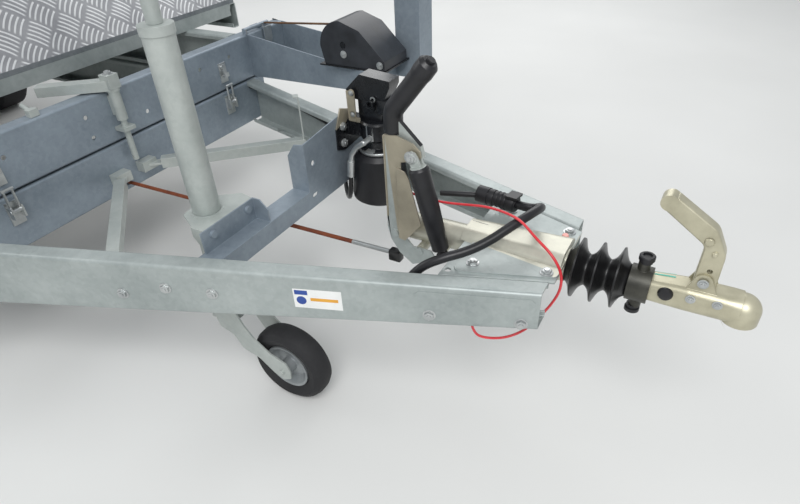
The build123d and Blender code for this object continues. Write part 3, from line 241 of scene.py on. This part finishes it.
def galvanised(name, dark, light, rough=0.45, patch=0.12):
    """Hot-dip galvanised steel: a dull zinc skin whose frozen crystals, about 12 mm across,
    give faint patches, with pale bloom and darker runs."""
    material, tree, shader, where = start_material(name)
    crystals = add_node(tree, "ShaderNodeTexVoronoi", {"Scale": CRYSTALS}, {"Vector": where})
    cloud = add_node(tree, "ShaderNodeTexNoise", {"Scale": 5.0, "Detail": 8.0, "Roughness": 0.66},
                     {"Vector": where})
    fine = add_node(tree, "ShaderNodeTexNoise", {"Scale": ZINC_GRAIN, "Detail": 3.0}, {"Vector": where})
    cell = add_node(tree, "ShaderNodeSeparateColor", links={"Color": crystals.outputs["Color"]})
    blend = add_node(tree, "ShaderNodeMath", {1: patch}, {0: cell.outputs["Red"]}, operation="MULTIPLY")
    total = add_node(tree, "ShaderNodeMath", {1: 1 - patch}, {0: cloud.outputs["Fac"], 2: blend.outputs[0]},
                     operation="MULTIPLY_ADD")
    colour = add_node(tree, "ShaderNodeValToRGB", links={"Fac": total.outputs[0]},
                      stops=((0.3, dark), (0.7, light)))
    tree.links.new(colour.outputs["Color"], shader.inputs["Base Color"])
    shader.inputs["Metallic"].default_value = 0.4
    shine = add_node(tree, "ShaderNodeMapRange", {"To Min": rough - 0.08, "To Max": rough + 0.12},
                     {"Value": cloud.outputs["Fac"]})
    tree.links.new(shine.outputs[0], shader.inputs["Roughness"])
    bump = add_node(tree, "ShaderNodeBump", {"Strength": 0.12, "Distance": 0.0006},
                    {"Height": fine.outputs["Fac"]})
    tree.links.new(bump.outputs[0], shader.inputs["Normal"])
    return material


def coated(name, dark, light, metallic, rough, grain=COAT_GRAIN, depth=0.0003, strength=0.2):
    """A coated or moulded surface: a base colour that drifts a little, with a fine grain.
    depth is the grain's height in metres."""
    material, tree, shader, where = start_material(name)
    cloud = add_node(tree, "ShaderNodeTexNoise", {"Scale": 14.0, "Detail": 7.0, "Roughness": 0.62},
                     {"Vector": where})
    colour = add_node(tree, "ShaderNodeValToRGB", links={"Fac": cloud.outputs["Fac"]},
                      stops=((0.3, dark), (0.7, light)))
    tree.links.new(colour.outputs["Color"], shader.inputs["Base Color"])
    shader.inputs["Metallic"].default_value = metallic
    shine = add_node(tree, "ShaderNodeMapRange", {"To Min": rough - 0.07, "To Max": rough + 0.1},
                     {"Value": cloud.outputs["Fac"]})
    tree.links.new(shine.outputs[0], shader.inputs["Roughness"])
    fine = add_node(tree, "ShaderNodeTexNoise", {"Scale": grain, "Detail": 2.0}, {"Vector": where})
    bump = add_node(tree, "ShaderNodeBump", {"Strength": strength, "Distance": depth},
                    {"Height": fine.outputs["Fac"]})
    tree.links.new(bump.outputs[0], shader.inputs["Normal"])
    return material


def tread_plate(name, lean):
    """Rolled aluminium tread plate. To the eye it is grey, with five bright worn bars to each
    cell, set at 45 degrees and turned from cell to cell. lean is the plate's slope."""
    material, tree, shader, where = start_material(name)
    flat = add_node(tree, "ShaderNodeMapping", {"Rotation": (0, -math.radians(lean), 0)}, {"Vector": where})
    diagonal = add_node(tree, "ShaderNodeMapping",
                        {"Rotation": (0, 0, math.radians(45)), "Scale": (TREAD_CELLS, TREAD_CELLS, 0)},
                        {"Vector": flat.outputs["Vector"]})
    axes = add_node(tree, "ShaderNodeSeparateXYZ", links={"Vector": diagonal.outputs["Vector"]})
    sums = {"p": axes.outputs["X"], "q": axes.outputs["Y"]}
    for result, operation, *terms in TREAD_STEPS:
        fixed = {slot: term for slot, term in enumerate(terms) if not isinstance(term, str)}
        fed = {slot: sums[term] for slot, term in enumerate(terms) if isinstance(term, str)}
        sums[result] = add_node(tree, "ShaderNodeMath", fixed, fed, operation=operation).outputs[0]
    height = add_node(tree, "ShaderNodeMapRange",
                      {"From Min": 0.7, "From Max": 1.0, "To Min": 1.0, "To Max": 0.0},
                      {"Value": sums["reach"]}, interpolation_type="SMOOTHSTEP").outputs[0]
    cloud = add_node(tree, "ShaderNodeTexNoise", {"Scale": 6.0, "Detail": 8.0, "Roughness": 0.6},
                     {"Vector": where})
    ground = add_node(tree, "ShaderNodeValToRGB", links={"Fac": cloud.outputs["Fac"]},
                      stops=((0.3, "#85868A"), (0.7, "#A5A6A9"))).outputs["Color"]
    worn = add_node(tree, "ShaderNodeValToRGB", links={"Fac": cloud.outputs["Fac"]},
                    stops=((0.3, "#C9CBCD"), (0.7, "#E6E7E8"))).outputs["Color"]
    colour = add_node(tree, "ShaderNodeMix", links={0: height, "A": ground, "B": worn}, data_type="RGBA")
    tree.links.new(colour.outputs["Result"], shader.inputs["Base Color"])
    shader.inputs["Metallic"].default_value = 0.5
    shader.inputs["Roughness"].default_value = 0.4
    bump = add_node(tree, "ShaderNodeBump", {"Strength": 0.8, "Distance": 0.0015}, {"Height": height})
    tree.links.new(bump.outputs[0], shader.inputs["Normal"])
    return material


MATERIALS = {
    # Hot-dipped zinc is dull and softly mottled: warm on the drawbar, bluer on pressed beams,
    # pale on bars and dark on the axles, whose dark grey also paints shade on the bed's front edge.
    "galvanised": galvanised("Hot-dip galvanised steel", "#959D9C", "#B7BEBC", patch=0.08),
    "blue_zinc": galvanised("Hot-dip galvanised sheet beam", "#7C8791", "#97A2AC", 0.42, 0.1),
    "pale_zinc": galvanised("Hot-dip galvanised bar", "#A1A8A5", "#C1C6C2", 0.42, 0.06),
    "axle_steel": galvanised("Hot-dip galvanised axle steel and painted edge shade", "#6F7579", "#8F9497", 0.55),
    # Electroplated zinc gives fasteners a clean silver glint, and passivation a straw tint.
    "bright_zinc": coated("Bright zinc-plated fasteners", "#A9ADAE", "#D0D2D1", 0.85, 0.3, depth=0.0001),
    "zinc_cast": coated("Yellow-passivated zinc plate", "#ABA68F", "#C9C4AC", 0.5, 0.36),
    "housing_zinc": coated("Pale passivated zinc sheet", "#B2B1A4", "#D0CEBF", 0.45, 0.36),
    "bracket_zinc": coated("Warm passivated zinc sheet", "#9A9383", "#B3AB98", 0.55, 0.4),
    # Rolled plate: grey ground and bright bars, level on the floor and leaning on the board
    "tread_plate": tread_plate("Rolled aluminium tread plate", 0),
    "tread_board": tread_plate("Leaning rolled aluminium tread plate", BOARD_LEAN),
    # Moulded black plastics and rubbers differ in sheen: plastic is satin, a grained cover
    # is greyer, rubber bellows gleam, a worn grip less, and a tyre is matt.
    "black_plastic": coated("Moulded black polypropylene", "#121215", "#1E1E22", 0.0, 0.42),
    "cover_plastic": coated("Grained black ABS cover", "#1E2024", "#34373D", 0.0, 0.42, 260.0, 0.0008, 0.5),
    "black_rubber": coated("Moulded black rubber", "#0D0D0E", "#1A1A1B", 0.0, 0.3),
    "grip_rubber": coated("Worn moulded grip rubber", "#121214", "#222226", 0.0, 0.36),
    "tyre": coated("Moulded tyre rubber", "#17171A", "#29292B", 0.0, 0.72),
    # Sprayed enamel on castings is near black with sharp highlights, wheel paint is silver,
    # and phosphated steel is a dark grey metal.
    "black_paint": coated("Gloss black enamel", "#0F1013", "#1B1D21", 0.0, 0.26, depth=0.0001),
    "wheel_steel": coated("Sprayed silver wheel paint", "#8D9294", "#A9ADAF", 0.5, 0.35, depth=0.0001),
    "collar_steel": coated("Dark phosphated steel", "#2E2E2C", "#56554E", 0.6, 0.36, depth=0.0002),
    # Rust is matt, rough and red-brown on the bar, and browner in the laid rope.
    "rusty_steel": coated("Rusty drawn steel rod", "#5B2A1A", "#8A4A2C", 0.1, 0.8, 160.0, 0.0008, 0.5),
    "wire_rope": coated("Rusty laid wire rope", "#4A3323", "#7C5A3C", 0.2, 0.7, 300.0, 0.0008, 0.5),
    # Extruded PVC and small polythene mouldings are smooth and evenly coloured.
    "red_plastic": coated("Extruded red PVC", "#C41E2A", "#E0454C", 0.0, 0.3, depth=0.00005),
    "pink_plastic": coated("Moulded pink polythene", "#E79C93", "#F2B3A9", 0.0, 0.4, depth=0.00005),
    "teal_plastic": coated("Moulded teal polythene", "#4FB3A4", "#6CC7B8", 0.0, 0.45, depth=0.0001),
    # Printed vinyl is flat and half matt, and an etched plate is a soft grey metal.
    "white_paper": coated("White vinyl label", "#E4E5E3", "#F2F3F1", 0.0, 0.5, depth=0.00005),
    "blue_ink": coated("Blue printed vinyl", "#27408B", "#3458A6", 0.0, 0.5, depth=0.00005),
    "orange_ink": coated("Orange printed vinyl", "#D9962B", "#E8AC45", 0.0, 0.5, depth=0.00005),
    "label_metal": coated("Etched aluminium label", "#9EA0A0", "#C3C5C4", 0.6, 0.4, depth=0.0001),
    # A ground and chromed ram rod mirrors the sky.
    "chrome": coated("Ground hard chrome", "#B9BCBE", "#D0D2D3", 1.0, 0.18, depth=0.00002),
}


def set_camera():
    """The photograph's view: above the drawbar's right side, looking back and down."""
    yaw, pitch, roll = (math.radians(a) for a in (CAMERA_YAW, CAMERA_PITCH, CAMERA_ROLL))
    forward = Vector((-math.sin(yaw) * math.cos(pitch), math.cos(yaw) * math.cos(pitch), -math.sin(pitch)))
    level = Vector((math.cos(yaw), math.sin(yaw), 0))
    above = level.cross(forward)
    right = math.cos(roll) * level + math.sin(roll) * above
    up = -math.sin(roll) * level + math.cos(roll) * above
    data = bpy.data.cameras.new("photo_view")
    data.sensor_width = 36
    data.lens = FOCAL_PIXELS / IMAGE_WIDTH * data.sensor_width
    data.shift_y = AXIS_BELOW_MIDDLE / IMAGE_WIDTH
    data.clip_start = 0.05
    data.clip_end = 60
    camera = bpy.data.objects.new("photo_view", data)
    turn = Matrix((right, up, -forward)).transposed().to_4x4()
    camera.matrix_world = Matrix.Translation(CAMERA_AT) @ turn
    bpy.context.scene.collection.objects.link(camera)
    bpy.context.scene.camera = camera


def cord(name, route, radius, material, node):
    """A cord along one smooth spline whose control points are its route's points."""
    curve = bpy.data.curves.new(name, "CURVE")
    curve.dimensions = "3D"
    curve.resolution_u = 12
    curve.bevel_depth = radius
    curve.bevel_resolution = 5
    curve.use_fill_caps = True
    spline = curve.splines.new("NURBS")
    spline.points.add(len(route) - 1)
    for point, spot in zip(spline.points, route):
        point.co = (*place(*spot), 1)
    spline.order_u = 3
    spline.use_endpoint_u = True
    curve.materials.append(MATERIALS[material])
    piece = bpy.data.objects.new(name, curve)
    bpy.context.scene.collection.objects.link(piece)
    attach(piece, BODY_OF[node])
    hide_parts(node)


def make_piece(name, shape, materials, body, nodes=(), smooth=32, merged=False):
    """Finishes a bmesh as a piece: shading, materials, the body it rides on and the nodes that
    it replaces. smooth is the angle in degrees above which an edge stays sharp."""
    if not merged:
        bmesh.ops.remove_doubles(shape, verts=shape.verts, dist=0.00001)
        bmesh.ops.recalc_face_normals(shape, faces=shape.faces)
    mesh = bpy.data.meshes.new(name)
    shape.to_mesh(mesh)
    shape.free()
    for polygon in mesh.polygons:
        polygon.use_smooth = True
    mesh.set_sharp_from_angle(angle=math.radians(smooth))
    for material in materials:
        mesh.materials.append(MATERIALS[material])
    piece = bpy.data.objects.new(name, mesh)
    bpy.context.scene.collection.objects.link(piece)
    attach(piece, body)
    if nodes:
        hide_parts(*nodes)
    return piece


def refine(node, materials=None, zones=(), width=0.0009, bend=30):
    """A CAD node's copy with merged faces and softly rounded edges stands in for it. Each
    zone gives the next material to the faces whose middle, in the drawing, passes a test."""
    shape = bmesh.new()
    shape.from_mesh(frame["nodes"][node].data)
    bmesh.ops.remove_doubles(shape, verts=shape.verts, dist=0.00001)
    bmesh.ops.dissolve_limit(shape, angle_limit=math.radians(1), verts=shape.verts, edges=shape.edges)
    sharp = [edge for edge in shape.edges
             if len(edge.link_faces) == 2 and edge.calc_face_angle(0) > math.radians(bend)]
    bmesh.ops.bevel(shape, geom=sharp, offset=width, offset_type="OFFSET", segments=2, profile=0.5,
                    affect="EDGES", clamp_overlap=False, material=-1)
    for face in shape.faces:
        face.material_index = 0
        middle = drawn(face.calc_center_median())
        for number, test in enumerate(zones):
            if test(middle):
                face.material_index = number + 1
    piece = make_piece(node + "_finish", shape, materials or [SLOT_OF[node]], BODY_OF[node],
                       [node], merged=True)
    modifier = piece.modifiers.new("even shading", "WEIGHTED_NORMAL")
    modifier.keep_sharp = True
    return piece


def aim(spot, way):
    """A matrix that takes local z to a direction at a place of the drawing, in metres."""
    turn = Vector(way).normalized().to_track_quat("Z", "Y").to_matrix().to_4x4()
    return Matrix.Translation(place(*spot)) @ turn


def surface(node, spot, way):
    """The drawing's point where a line from spot along way first meets a CAD node, or spot
    where it meets nothing."""
    mesh = frame["nodes"][node].data
    if node not in TREES:
        TREES[node] = BVHTree.FromPolygons([v.co.copy() for v in mesh.vertices],
                                           [p.vertices[:] for p in mesh.polygons])
    at = TREES[node].ray_cast(place(*spot), Vector(way).normalized())[0]
    return drawn(at) if at else Vector(spot)


def near_side(node, x, z):
    """The point of a CAD node's near side at a place of the drawing."""
    return surface(node, (x, -OUTSIDE, z), LEFT)


def top_side(node, x, y):
    """The point of a CAD node's top at a place of the drawing."""
    return surface(node, (x, y, COUPLING_Z + OUTSIDE), -UP)


def add_disc(shape, spot, way, r0, r1, height, segments=32, edge=0.0):
    """Adds a round or six-sided block, r0 wide at spot and r1 at its far end, in millimetres."""
    made = bmesh.ops.create_cone(shape, cap_ends=True, segments=segments, radius1=r0 / 1000,
                                 radius2=r1 / 1000, depth=height / 1000)
    bmesh.ops.translate(shape, verts=made["verts"], vec=(0, 0, height / 2000))
    verts = made["verts"]
    if edge:
        top = [e for e in {e for v in verts for e in v.link_edges}
               if all(v.co.z > height / 1000 - 1e-6 for v in e.verts)]
        made = bmesh.ops.bevel(shape, geom=top, offset=edge / 1000, segments=2, profile=0.5, affect="EDGES",
                               clamp_overlap=True, material=-1)
        verts = list({v for v in verts if v.is_valid} | {v for f in made["faces"] for v in f.verts})
    bmesh.ops.transform(shape, matrix=aim(spot, way), verts=verts)


def add_block(shape, low, high, edge=1.5):
    """Adds a block with softened edges between two corners of the drawing."""
    low, high = Vector(low), Vector(high)
    made = bmesh.ops.create_cube(shape, size=1)
    bmesh.ops.scale(shape, vec=(high - low) / 1000, verts=made["verts"])
    bmesh.ops.translate(shape, vec=place(*((low + high) / 2)), verts=made["verts"])
    edges = list({e for v in made["verts"] for e in v.link_edges})
    bmesh.ops.bevel(shape, geom=edges, offset=edge / 1000, segments=2, profile=0.5, affect="EDGES",
                    clamp_overlap=True, material=-1)


def add_rod(shape, start, end, radius, segments=24, edge=0.0):
    """Adds a round rod between two points of the drawing."""
    run = Vector(end) - Vector(start)
    add_disc(shape, start, run, radius, radius, run.length, segments, edge)


def add_turned(shape, spot, way, outline, segments=48):
    """Adds a form turned about way at spot from an outline of (radius, height) points."""
    verts = [shape.verts.new((radius / 1000, 0, height / 1000)) for radius, height in outline]
    edges = [shape.edges.new(pair) for pair in zip(verts, verts[1:])]
    made = bmesh.ops.spin(shape, geom=verts + edges, cent=(0, 0, 0), axis=(0, 0, 1),
                          angle=2 * math.pi, steps=segments, use_merge=True)
    turned = set(verts) | {v for v in made["geom_last"] if isinstance(v, bmesh.types.BMVert)}
    edge_of = set(turned)
    while edge_of:
        edge_of = {e.other_vert(v) for v in edge_of for e in v.link_edges} - turned
        turned |= edge_of
    bmesh.ops.transform(shape, matrix=aim(spot, way), verts=list(turned))


def add_plate(shape, corners, way, thick):
    """Adds a flat plate from its corners in the drawing, thickened along way."""
    verts = [shape.verts.new(place(*corner)) for corner in corners]
    face = shape.faces.new(verts)
    made = bmesh.ops.extrude_face_region(shape, geom=[face])
    top = [v for v in made["geom"] if isinstance(v, bmesh.types.BMVert)]
    bmesh.ops.translate(shape, verts=top, vec=Vector(way).normalized() * thick / 1000)


def bolts(name, spots, body="chassis", radius=12.7, height=9, washer=16.5):
    """Zinc-plated hex bolts on their washers, with the threads' ends, at (place, direction)
    pairs."""
    washer_thick, thread_end = 2.2, 2.4
    shape = bmesh.new()
    for spot, way in spots:
        way = Vector(way).normalized()
        seat, top = (Vector(spot) + way * rise for rise in (washer_thick, height))
        add_disc(shape, spot, way, washer, washer, washer_thick, 32, 0.5)
        add_disc(shape, seat, way, radius, radius, height - washer_thick, 6, 1.6)
        add_disc(shape, top, way, radius * 0.52, radius * 0.48, thread_end, 20)
    make_piece(name, shape, ["bright_zinc"], body, smooth=25)


def dress_nodes():
    """Every CAD node gets the material of its slot."""
    for part in frame["record"]["subparts"]:
        node = frame["nodes"][part["node"]]
        node.data.materials.clear()
        node.data.materials.append(MATERIALS[part["material_slot"]])
        for polygon in node.data.polygons:
            polygon.use_smooth = False


def make_plug():
    """The lead's plug in its holder: rings round it, a cap and a boot behind it, and a lid."""
    plug = refine("lead_plug", ["black_plastic"])
    start, end = (Vector(spot) for spot in PLUG_ENDS)
    way = (end - start).normalized()
    rings = bmesh.new()
    for along, radius, wide in PLUG_RINGS:
        add_disc(rings, start + way * along, way, radius, radius, wide, 32, 1.2)
    add_plate(rings, HOLDER_LID, UP, 7)
    add_rod(rings, start - way * 14, start + way * 3, 15, 32, 3)
    add_rod(rings, start - way * 10, BOOT_END, 8, 24, 3)
    make_piece("plug_ribs", rings, ["black_plastic"], "chassis")
    return plug


def make_cords():
    """The lead with its plug, the breakaway cable and the pump's hose."""
    plug = make_plug()
    cord("lead_sleeve", LEAD_ROUTE, LEAD_R, "grip_rubber", "lead")
    cord("breakaway_line", BREAKAWAY_ROUTE, BREAKAWAY_R, "red_plastic", "breakaway_cable")
    cord("pump_hose_line", HOSE_ROUTE, HOSE_R, "black_rubber", "pump_hose")


def web_plate(name, outline, material, lift, thick, round_spot=None):
    """A plate or label on the near web, lift off it, from an outline of places on the web. A
    label may have a round spot too."""
    shape = bmesh.new()
    add_plate(shape, [on_web(s, z, lift) for s, z in outline], WEB_OUT, thick)
    if round_spot:
        add_disc(shape, on_web(*round_spot, lift), WEB_OUT, LABEL_SPOT_R, LABEL_SPOT_R, thick)
    make_piece(name, shape, [material], "chassis")


def make_drawbar():
    """The drawbar's beams, struts and cross piece, the webs' bolts and the near web's label."""
    for node, material in (("drawbar_left", "galvanised"), ("drawbar_right", "galvanised"),
                           ("drawbar_crossmember", "blue_zinc"), ("strut_left", "pale_zinc"),
                           ("strut_right", "pale_zinc")):
        refine(node, [material])
    away = Vector((WEB_OUT.x, -WEB_OUT.y, 0))
    near = [on_web(s, z) for s, z in WEB_BOLTS]
    far = [Vector((spot.x, -spot.y, spot.z)) for spot in near]
    bolts("web_bolts", [(spot, WEB_OUT) for spot in near] + [(spot, away) for spot in far])
    web_plate("web_pad", WEB_PAD, "galvanised", 0.1, 1.2)
    web_plate("web_label", LABEL, "white_paper", 0.1, 0.3)
    web_plate("web_label_blue", LABEL_BLOCK, "blue_ink", 0.4, 0.15, LABEL_SPOT)
    web_plate("web_label_orange", LABEL_STRIPE, "orange_ink", 0.4, 0.15)


def make_crossbeams():
    """The chassis' and the bed's front beams with their clamps and latch. What stands ahead
    of the sheet, such as the clamps, is bright."""
    fittings = [lambda m: m.x > CROSSBEAM_X + 0.8]
    refine("front_crossbeam", ["blue_zinc", "bright_zinc"], fittings)
    refine("bed_front_beam", ["blue_zinc", "bright_zinc"], fittings)
    refine("bed_latch", ["pale_zinc"])
    bolts("latch_bolt", [(LATCH_BOLT, UP)], "bed", radius=13, washer=17)


def make_housing():
    """The overrun housing, whose side flanges are greyer than its hump, and what it carries."""
    refine("overrun_housing", ["housing_zinc", "galvanised"], [lambda m: abs(m.y) > 92])
    bolts("housing_bolts", [((x, side * y, 1.5), UP) for x, y in HOUSING_BOLTS for side in (-1, 1)])
    cap = bmesh.new()
    add_turned(cap, top_side("overrun_housing", *HOUSING_CAP), UP,
               [(0, 0), (9, 0), (9, 3), (7, 7), (0, 8)], 32)
    make_piece("pink_cap", cap, ["pink_plastic"], "chassis")
    label = bmesh.new()
    add_plate(label, [top_side("overrun_housing", x, y) for x, y in HOUSING_LABEL], UP, 0.8)
    make_piece("housing_label", label, ["label_metal"], "chassis")


def make_bellows():
    """The rubber bellows: sharp folds with hollow flanks between the housing and the collar."""
    fold = BELLOWS_LENGTH / BELLOWS_FOLDS
    rise = BELLOWS_R - BELLOWS_ROOT
    flank = ((0.02, 0), (0.1, 0.06), (0.22, 0.22), (0.33, 0.5), (0.42, 0.84), (0.46, 1.0))
    wave = flank + ((0.54, 1.0), (0.58, 0.84), (0.67, 0.5), (0.78, 0.22), (0.9, 0.06), (0.98, 0))
    outline = [(END_LIP_R, 0.5)]
    for number in range(BELLOWS_FOLDS):
        outline += [(BELLOWS_ROOT + rise * share, (number + along) * fold) for along, share in wave]
    outline.append((END_LIP_R, BELLOWS_LENGTH - 0.5))
    shape = bmesh.new()
    add_turned(shape, (BELLOWS_START, 0, COUPLING_Z), FORWARD, outline, 64)
    make_piece("bellows_folds", shape, ["black_rubber"], "chassis", ["bellows"], 50)


def make_head():
    """The draw tube's collar with its caps, the coupling head and its handle."""
    refine("draw_tube", ["collar_steel"])
    end = BELLOWS_START + BELLOWS_LENGTH
    upper = [(0, -3), (15, -3), (15, 4), (18.5, 5), (18.5, 15), (16, 17), (11, 17), (10, 13), (0, 13)]
    lower = [(0, -3), (15, -3), (15, 6), (18, 7), (18, 16), (15, 18), (0, 18)]
    caps = bmesh.new()
    add_turned(caps, top_side("draw_tube", end + 28, 0), UP, upper, 40)
    add_turned(caps, surface("draw_tube", (end + 22, 0, COUPLING_Z - OUTSIDE), UP), -UP, lower, 40)
    make_piece("collar_caps", caps, ["black_plastic"], "chassis")
    refine("coupling_head", ["zinc_cast"])
    refine("coupling_handle", ["zinc_cast"], width=0.0003)
    bolts("head_bolts", [(near_side("coupling_head", x, z), -LEFT) for x, z in HEAD_BOLTS], radius=8,
          height=6, washer=11)
    cap = bmesh.new()
    add_turned(cap, near_side("coupling_head", *DUST_CAP), -LEFT,
               [(0, 0), (17, 0), (17, 4), (14, 9), (7, 12), (0, 12.6)], 40)
    make_piece("head_dust_cap", cap, ["black_plastic"], "chassis")
    strip = bmesh.new()
    add_plate(strip, [top_side("coupling_head", x, y) for x, y in WEAR_STRIP], UP, 1.2)
    make_piece("head_wear_strip", strip, ["teal_plastic"], "chassis")
    bolts("handle_bolt", [(near_side("coupling_head", *HANDLE_BOLT), -LEFT)], radius=9, height=5,
          washer=12)
    rivets = bmesh.new()
    for x, z, radius in HANDLE_RIVETS:
        add_disc(rivets, near_side("coupling_handle", x, z), -LEFT, radius, radius - 1.5, 3, 32, 1)
    make_piece("handle_rivets", rivets, ["zinc_cast"], "chassis")


def make_handbrake():
    """The handbrake's bracket, its lever with the grip, the spring cylinder and the rod."""
    px, pz = HANDBRAKE_PIVOT
    head = Vector((px + SPRING_HEAD[0], SPRING_Y, pz + SPRING_HEAD[1]))
    way = Vector((SPRING_FOOT[0] - SPRING_HEAD[0], 0, SPRING_FOOT[1] - SPRING_HEAD[1])).normalized()

    def on_clevis(middle):
        """True on the bare clevis round the pivot, which ends at the spring cylinder's head."""
        return (middle - head).dot(way) < 0.6 and middle.z < pz + 20 and abs(middle.x - px - 8) < 32

    refine("handbrake_bracket", ["bracket_zinc", "galvanised"], [lambda m: m.z < pz - LEAF_LOW])
    refine("handbrake_lever", ["grip_rubber", "pale_zinc"], [on_clevis])
    start = Vector(ROD_FRONT)
    back = (Vector(ROD_REAR) - start).normalized()
    thread = bmesh.new()
    add_rod(thread, start, start + back * ROD_THREAD, 7)
    make_piece("rod_thread", thread, ["bright_zinc"], "chassis")
    fork = bmesh.new()
    add_block(fork, start + Vector((-4, -13, -22)), start + Vector((34, 13, 12)), 4)
    make_piece("rod_fork", fork, ["black_rubber"], "chassis")
    bolts("pivot_bolt", [((px, HANDBRAKE_Y - 12, pz), -LEFT)], radius=13.5, height=8, washer=17)


def make_pump():
    """The hand pump's casting with its strap, link and elbow, and the tank under it."""
    x, y = PUMP_X, PUMP_Y

    def on_strap(middle):
        """True on the strap under the link, on the casting's near side."""
        return middle.y < y - 29.5 and middle.x < x - 50 and middle.z > 140

    def on_elbow(middle):
        """True on the hose's elbow, low on the near side."""
        return middle.z < 119 and x - 64 < middle.x < x + 14 and middle.y < y - 47

    refine("hand_pump", ["black_paint", "bracket_zinc", "bright_zinc"], [on_strap, on_elbow])
    link = bmesh.new()
    for z in (LINK_TOP, LINK_FOOT):
        add_disc(link, (LINK_X, LINK_Y, z), -LEFT, LINK_HALF, LINK_HALF, LINK_THICK, 32, 0.8)
    left, right = LINK_X - LINK_HALF, LINK_X + LINK_HALF
    add_plate(link, [(left, LINK_Y, LINK_TOP), (right, LINK_Y, LINK_TOP),
                     (right, LINK_Y, LINK_FOOT), (left, LINK_Y, LINK_FOOT)], -LEFT, LINK_THICK)
    make_piece("pump_link", link, ["bracket_zinc"], "chassis")
    casting = bmesh.new()
    add_block(casting, (x - 52, y - 22, 141), (x + 30, y + 26, 215), 5)
    add_block(casting, (x + 18, y - 30, 176), (x + 52, y + 28, 222), 5)
    add_rod(casting, (x - 4, y - 30, 196), (x - 4, y - 18, 196), 17, 40, 1.5)
    make_piece("pump_casting", casting, ["black_paint"], "chassis")
    rings = bmesh.new()
    add_turned(rings, (x, y, TANK_TOP), UP, [(57, 0), (61, 0), (62, 2), (62, 7), (60, 9), (57, 9)], 64)
    add_turned(rings, (x + 10, y - 30, 222), -LEFT, [(5, 0), (9, 0), (9, 3), (5, 3)], 32)
    make_piece("pump_rings", rings, ["bright_zinc"], "chassis")
    bolts("pump_link_bolts", [((LINK_X, LINK_Y - LINK_THICK, z), -LEFT) for z in (LINK_TOP, LINK_FOOT)],
          radius=5.5, height=4.5, washer=8)
    refine("pump_tank", ["black_plastic"])
    bolts("pump_bracket_bolts", [((PUMP_FACE_X, *spot), FORWARD) for spot in PUMP_BRACKET_BOLTS], washer=14)


def make_winch():
    """The winch under its cover, the arms and the post, and its rusty rope."""
    refine("winch_cover", ["cover_plastic"])
    refine("winch_arms", ["blue_zinc"])
    refine("winch_post", ["blue_zinc"])
    refine("winch_rope", ["wire_rope"], width=0.0002)
    bolts("cover_bolts", [(spot, -LEFT) for spot in COVER_BOLTS], "bed", radius=10, height=7, washer=13)


def make_jockey():
    """The jockey wheel's tube, clamp, crank and wheel."""
    for node in ("jockey_clamp", "jockey_outer_tube", "jockey_fork", "jockey_crank"):
        refine(node, ["pale_zinc"])
    for node in ("jockey_tyre", "jockey_rim", "jockey_leg"):
        refine(node)


def make_bed():
    """The bed's tread plate floor and its leaning front board. Their front edge and foot take the dark axle
    grey as painted shade.
    """
    # The last zone is painted shade: faces at the board's foot and on the deck's front edge get the dark
    # axle grey.
    refine("deck_plate", ["tread_plate", "tread_board", "axle_steel"],
           [lambda m: m.z > DECK_SKIN, lambda m: m.z < BOARD_FOOT or m.x > BOARD_EDGE_X])


def set_stage():
    """A plain pale floor, an even sky and three soft lamps."""
    floor_mesh = bmesh.new()
    bmesh.ops.create_grid(floor_mesh, x_segments=1, y_segments=1, size=FLOOR_HALF)
    mesh = bpy.data.meshes.new("floor")
    floor_mesh.to_mesh(mesh)
    floor_mesh.free()
    floor = bpy.data.objects.new("floor", mesh)
    bpy.context.scene.collection.objects.link(floor)
    material, tree, shader, where = start_material("Pale studio floor")
    cloud = add_node(tree, "ShaderNodeTexNoise", {"Scale": 0.7, "Detail": 3.0}, {"Vector": where})
    colour = add_node(tree, "ShaderNodeValToRGB", links={"Fac": cloud.outputs["Fac"]},
                      stops=((0.3, "#D9D9D7"), (0.7, "#E0E0DE")))
    tree.links.new(colour.outputs["Color"], shader.inputs["Base Color"])
    shader.inputs["Roughness"].default_value = 0.9
    mesh.materials.append(material)
    world = bpy.data.worlds.new("sky")
    bpy.context.scene.world = world
    world.use_nodes = True
    background = world.node_tree.nodes["Background"]
    background.inputs["Color"].default_value = linear("#E8ECEF")
    background.inputs["Strength"].default_value = SKY_STRENGTH
    for name, spot, target, size, power in LAMPS:
        data = bpy.data.lights.new(name, "AREA")
        data.size = size
        data.energy = power
        lamp = bpy.data.objects.new(name, data)
        lamp.location = spot
        lamp.rotation_euler = (Vector(target) - Vector(spot)).to_track_quat("-Z", "Y").to_euler()
        bpy.context.scene.collection.objects.link(lamp)
    bpy.context.scene.view_settings.view_transform = "Standard"


set_camera()
dress_nodes()
make_cords()
make_drawbar()
make_crossbeams()
make_housing()
make_bellows()
make_head()
make_handbrake()
make_pump()
make_winch()
make_jockey()
make_bed()
set_stage()
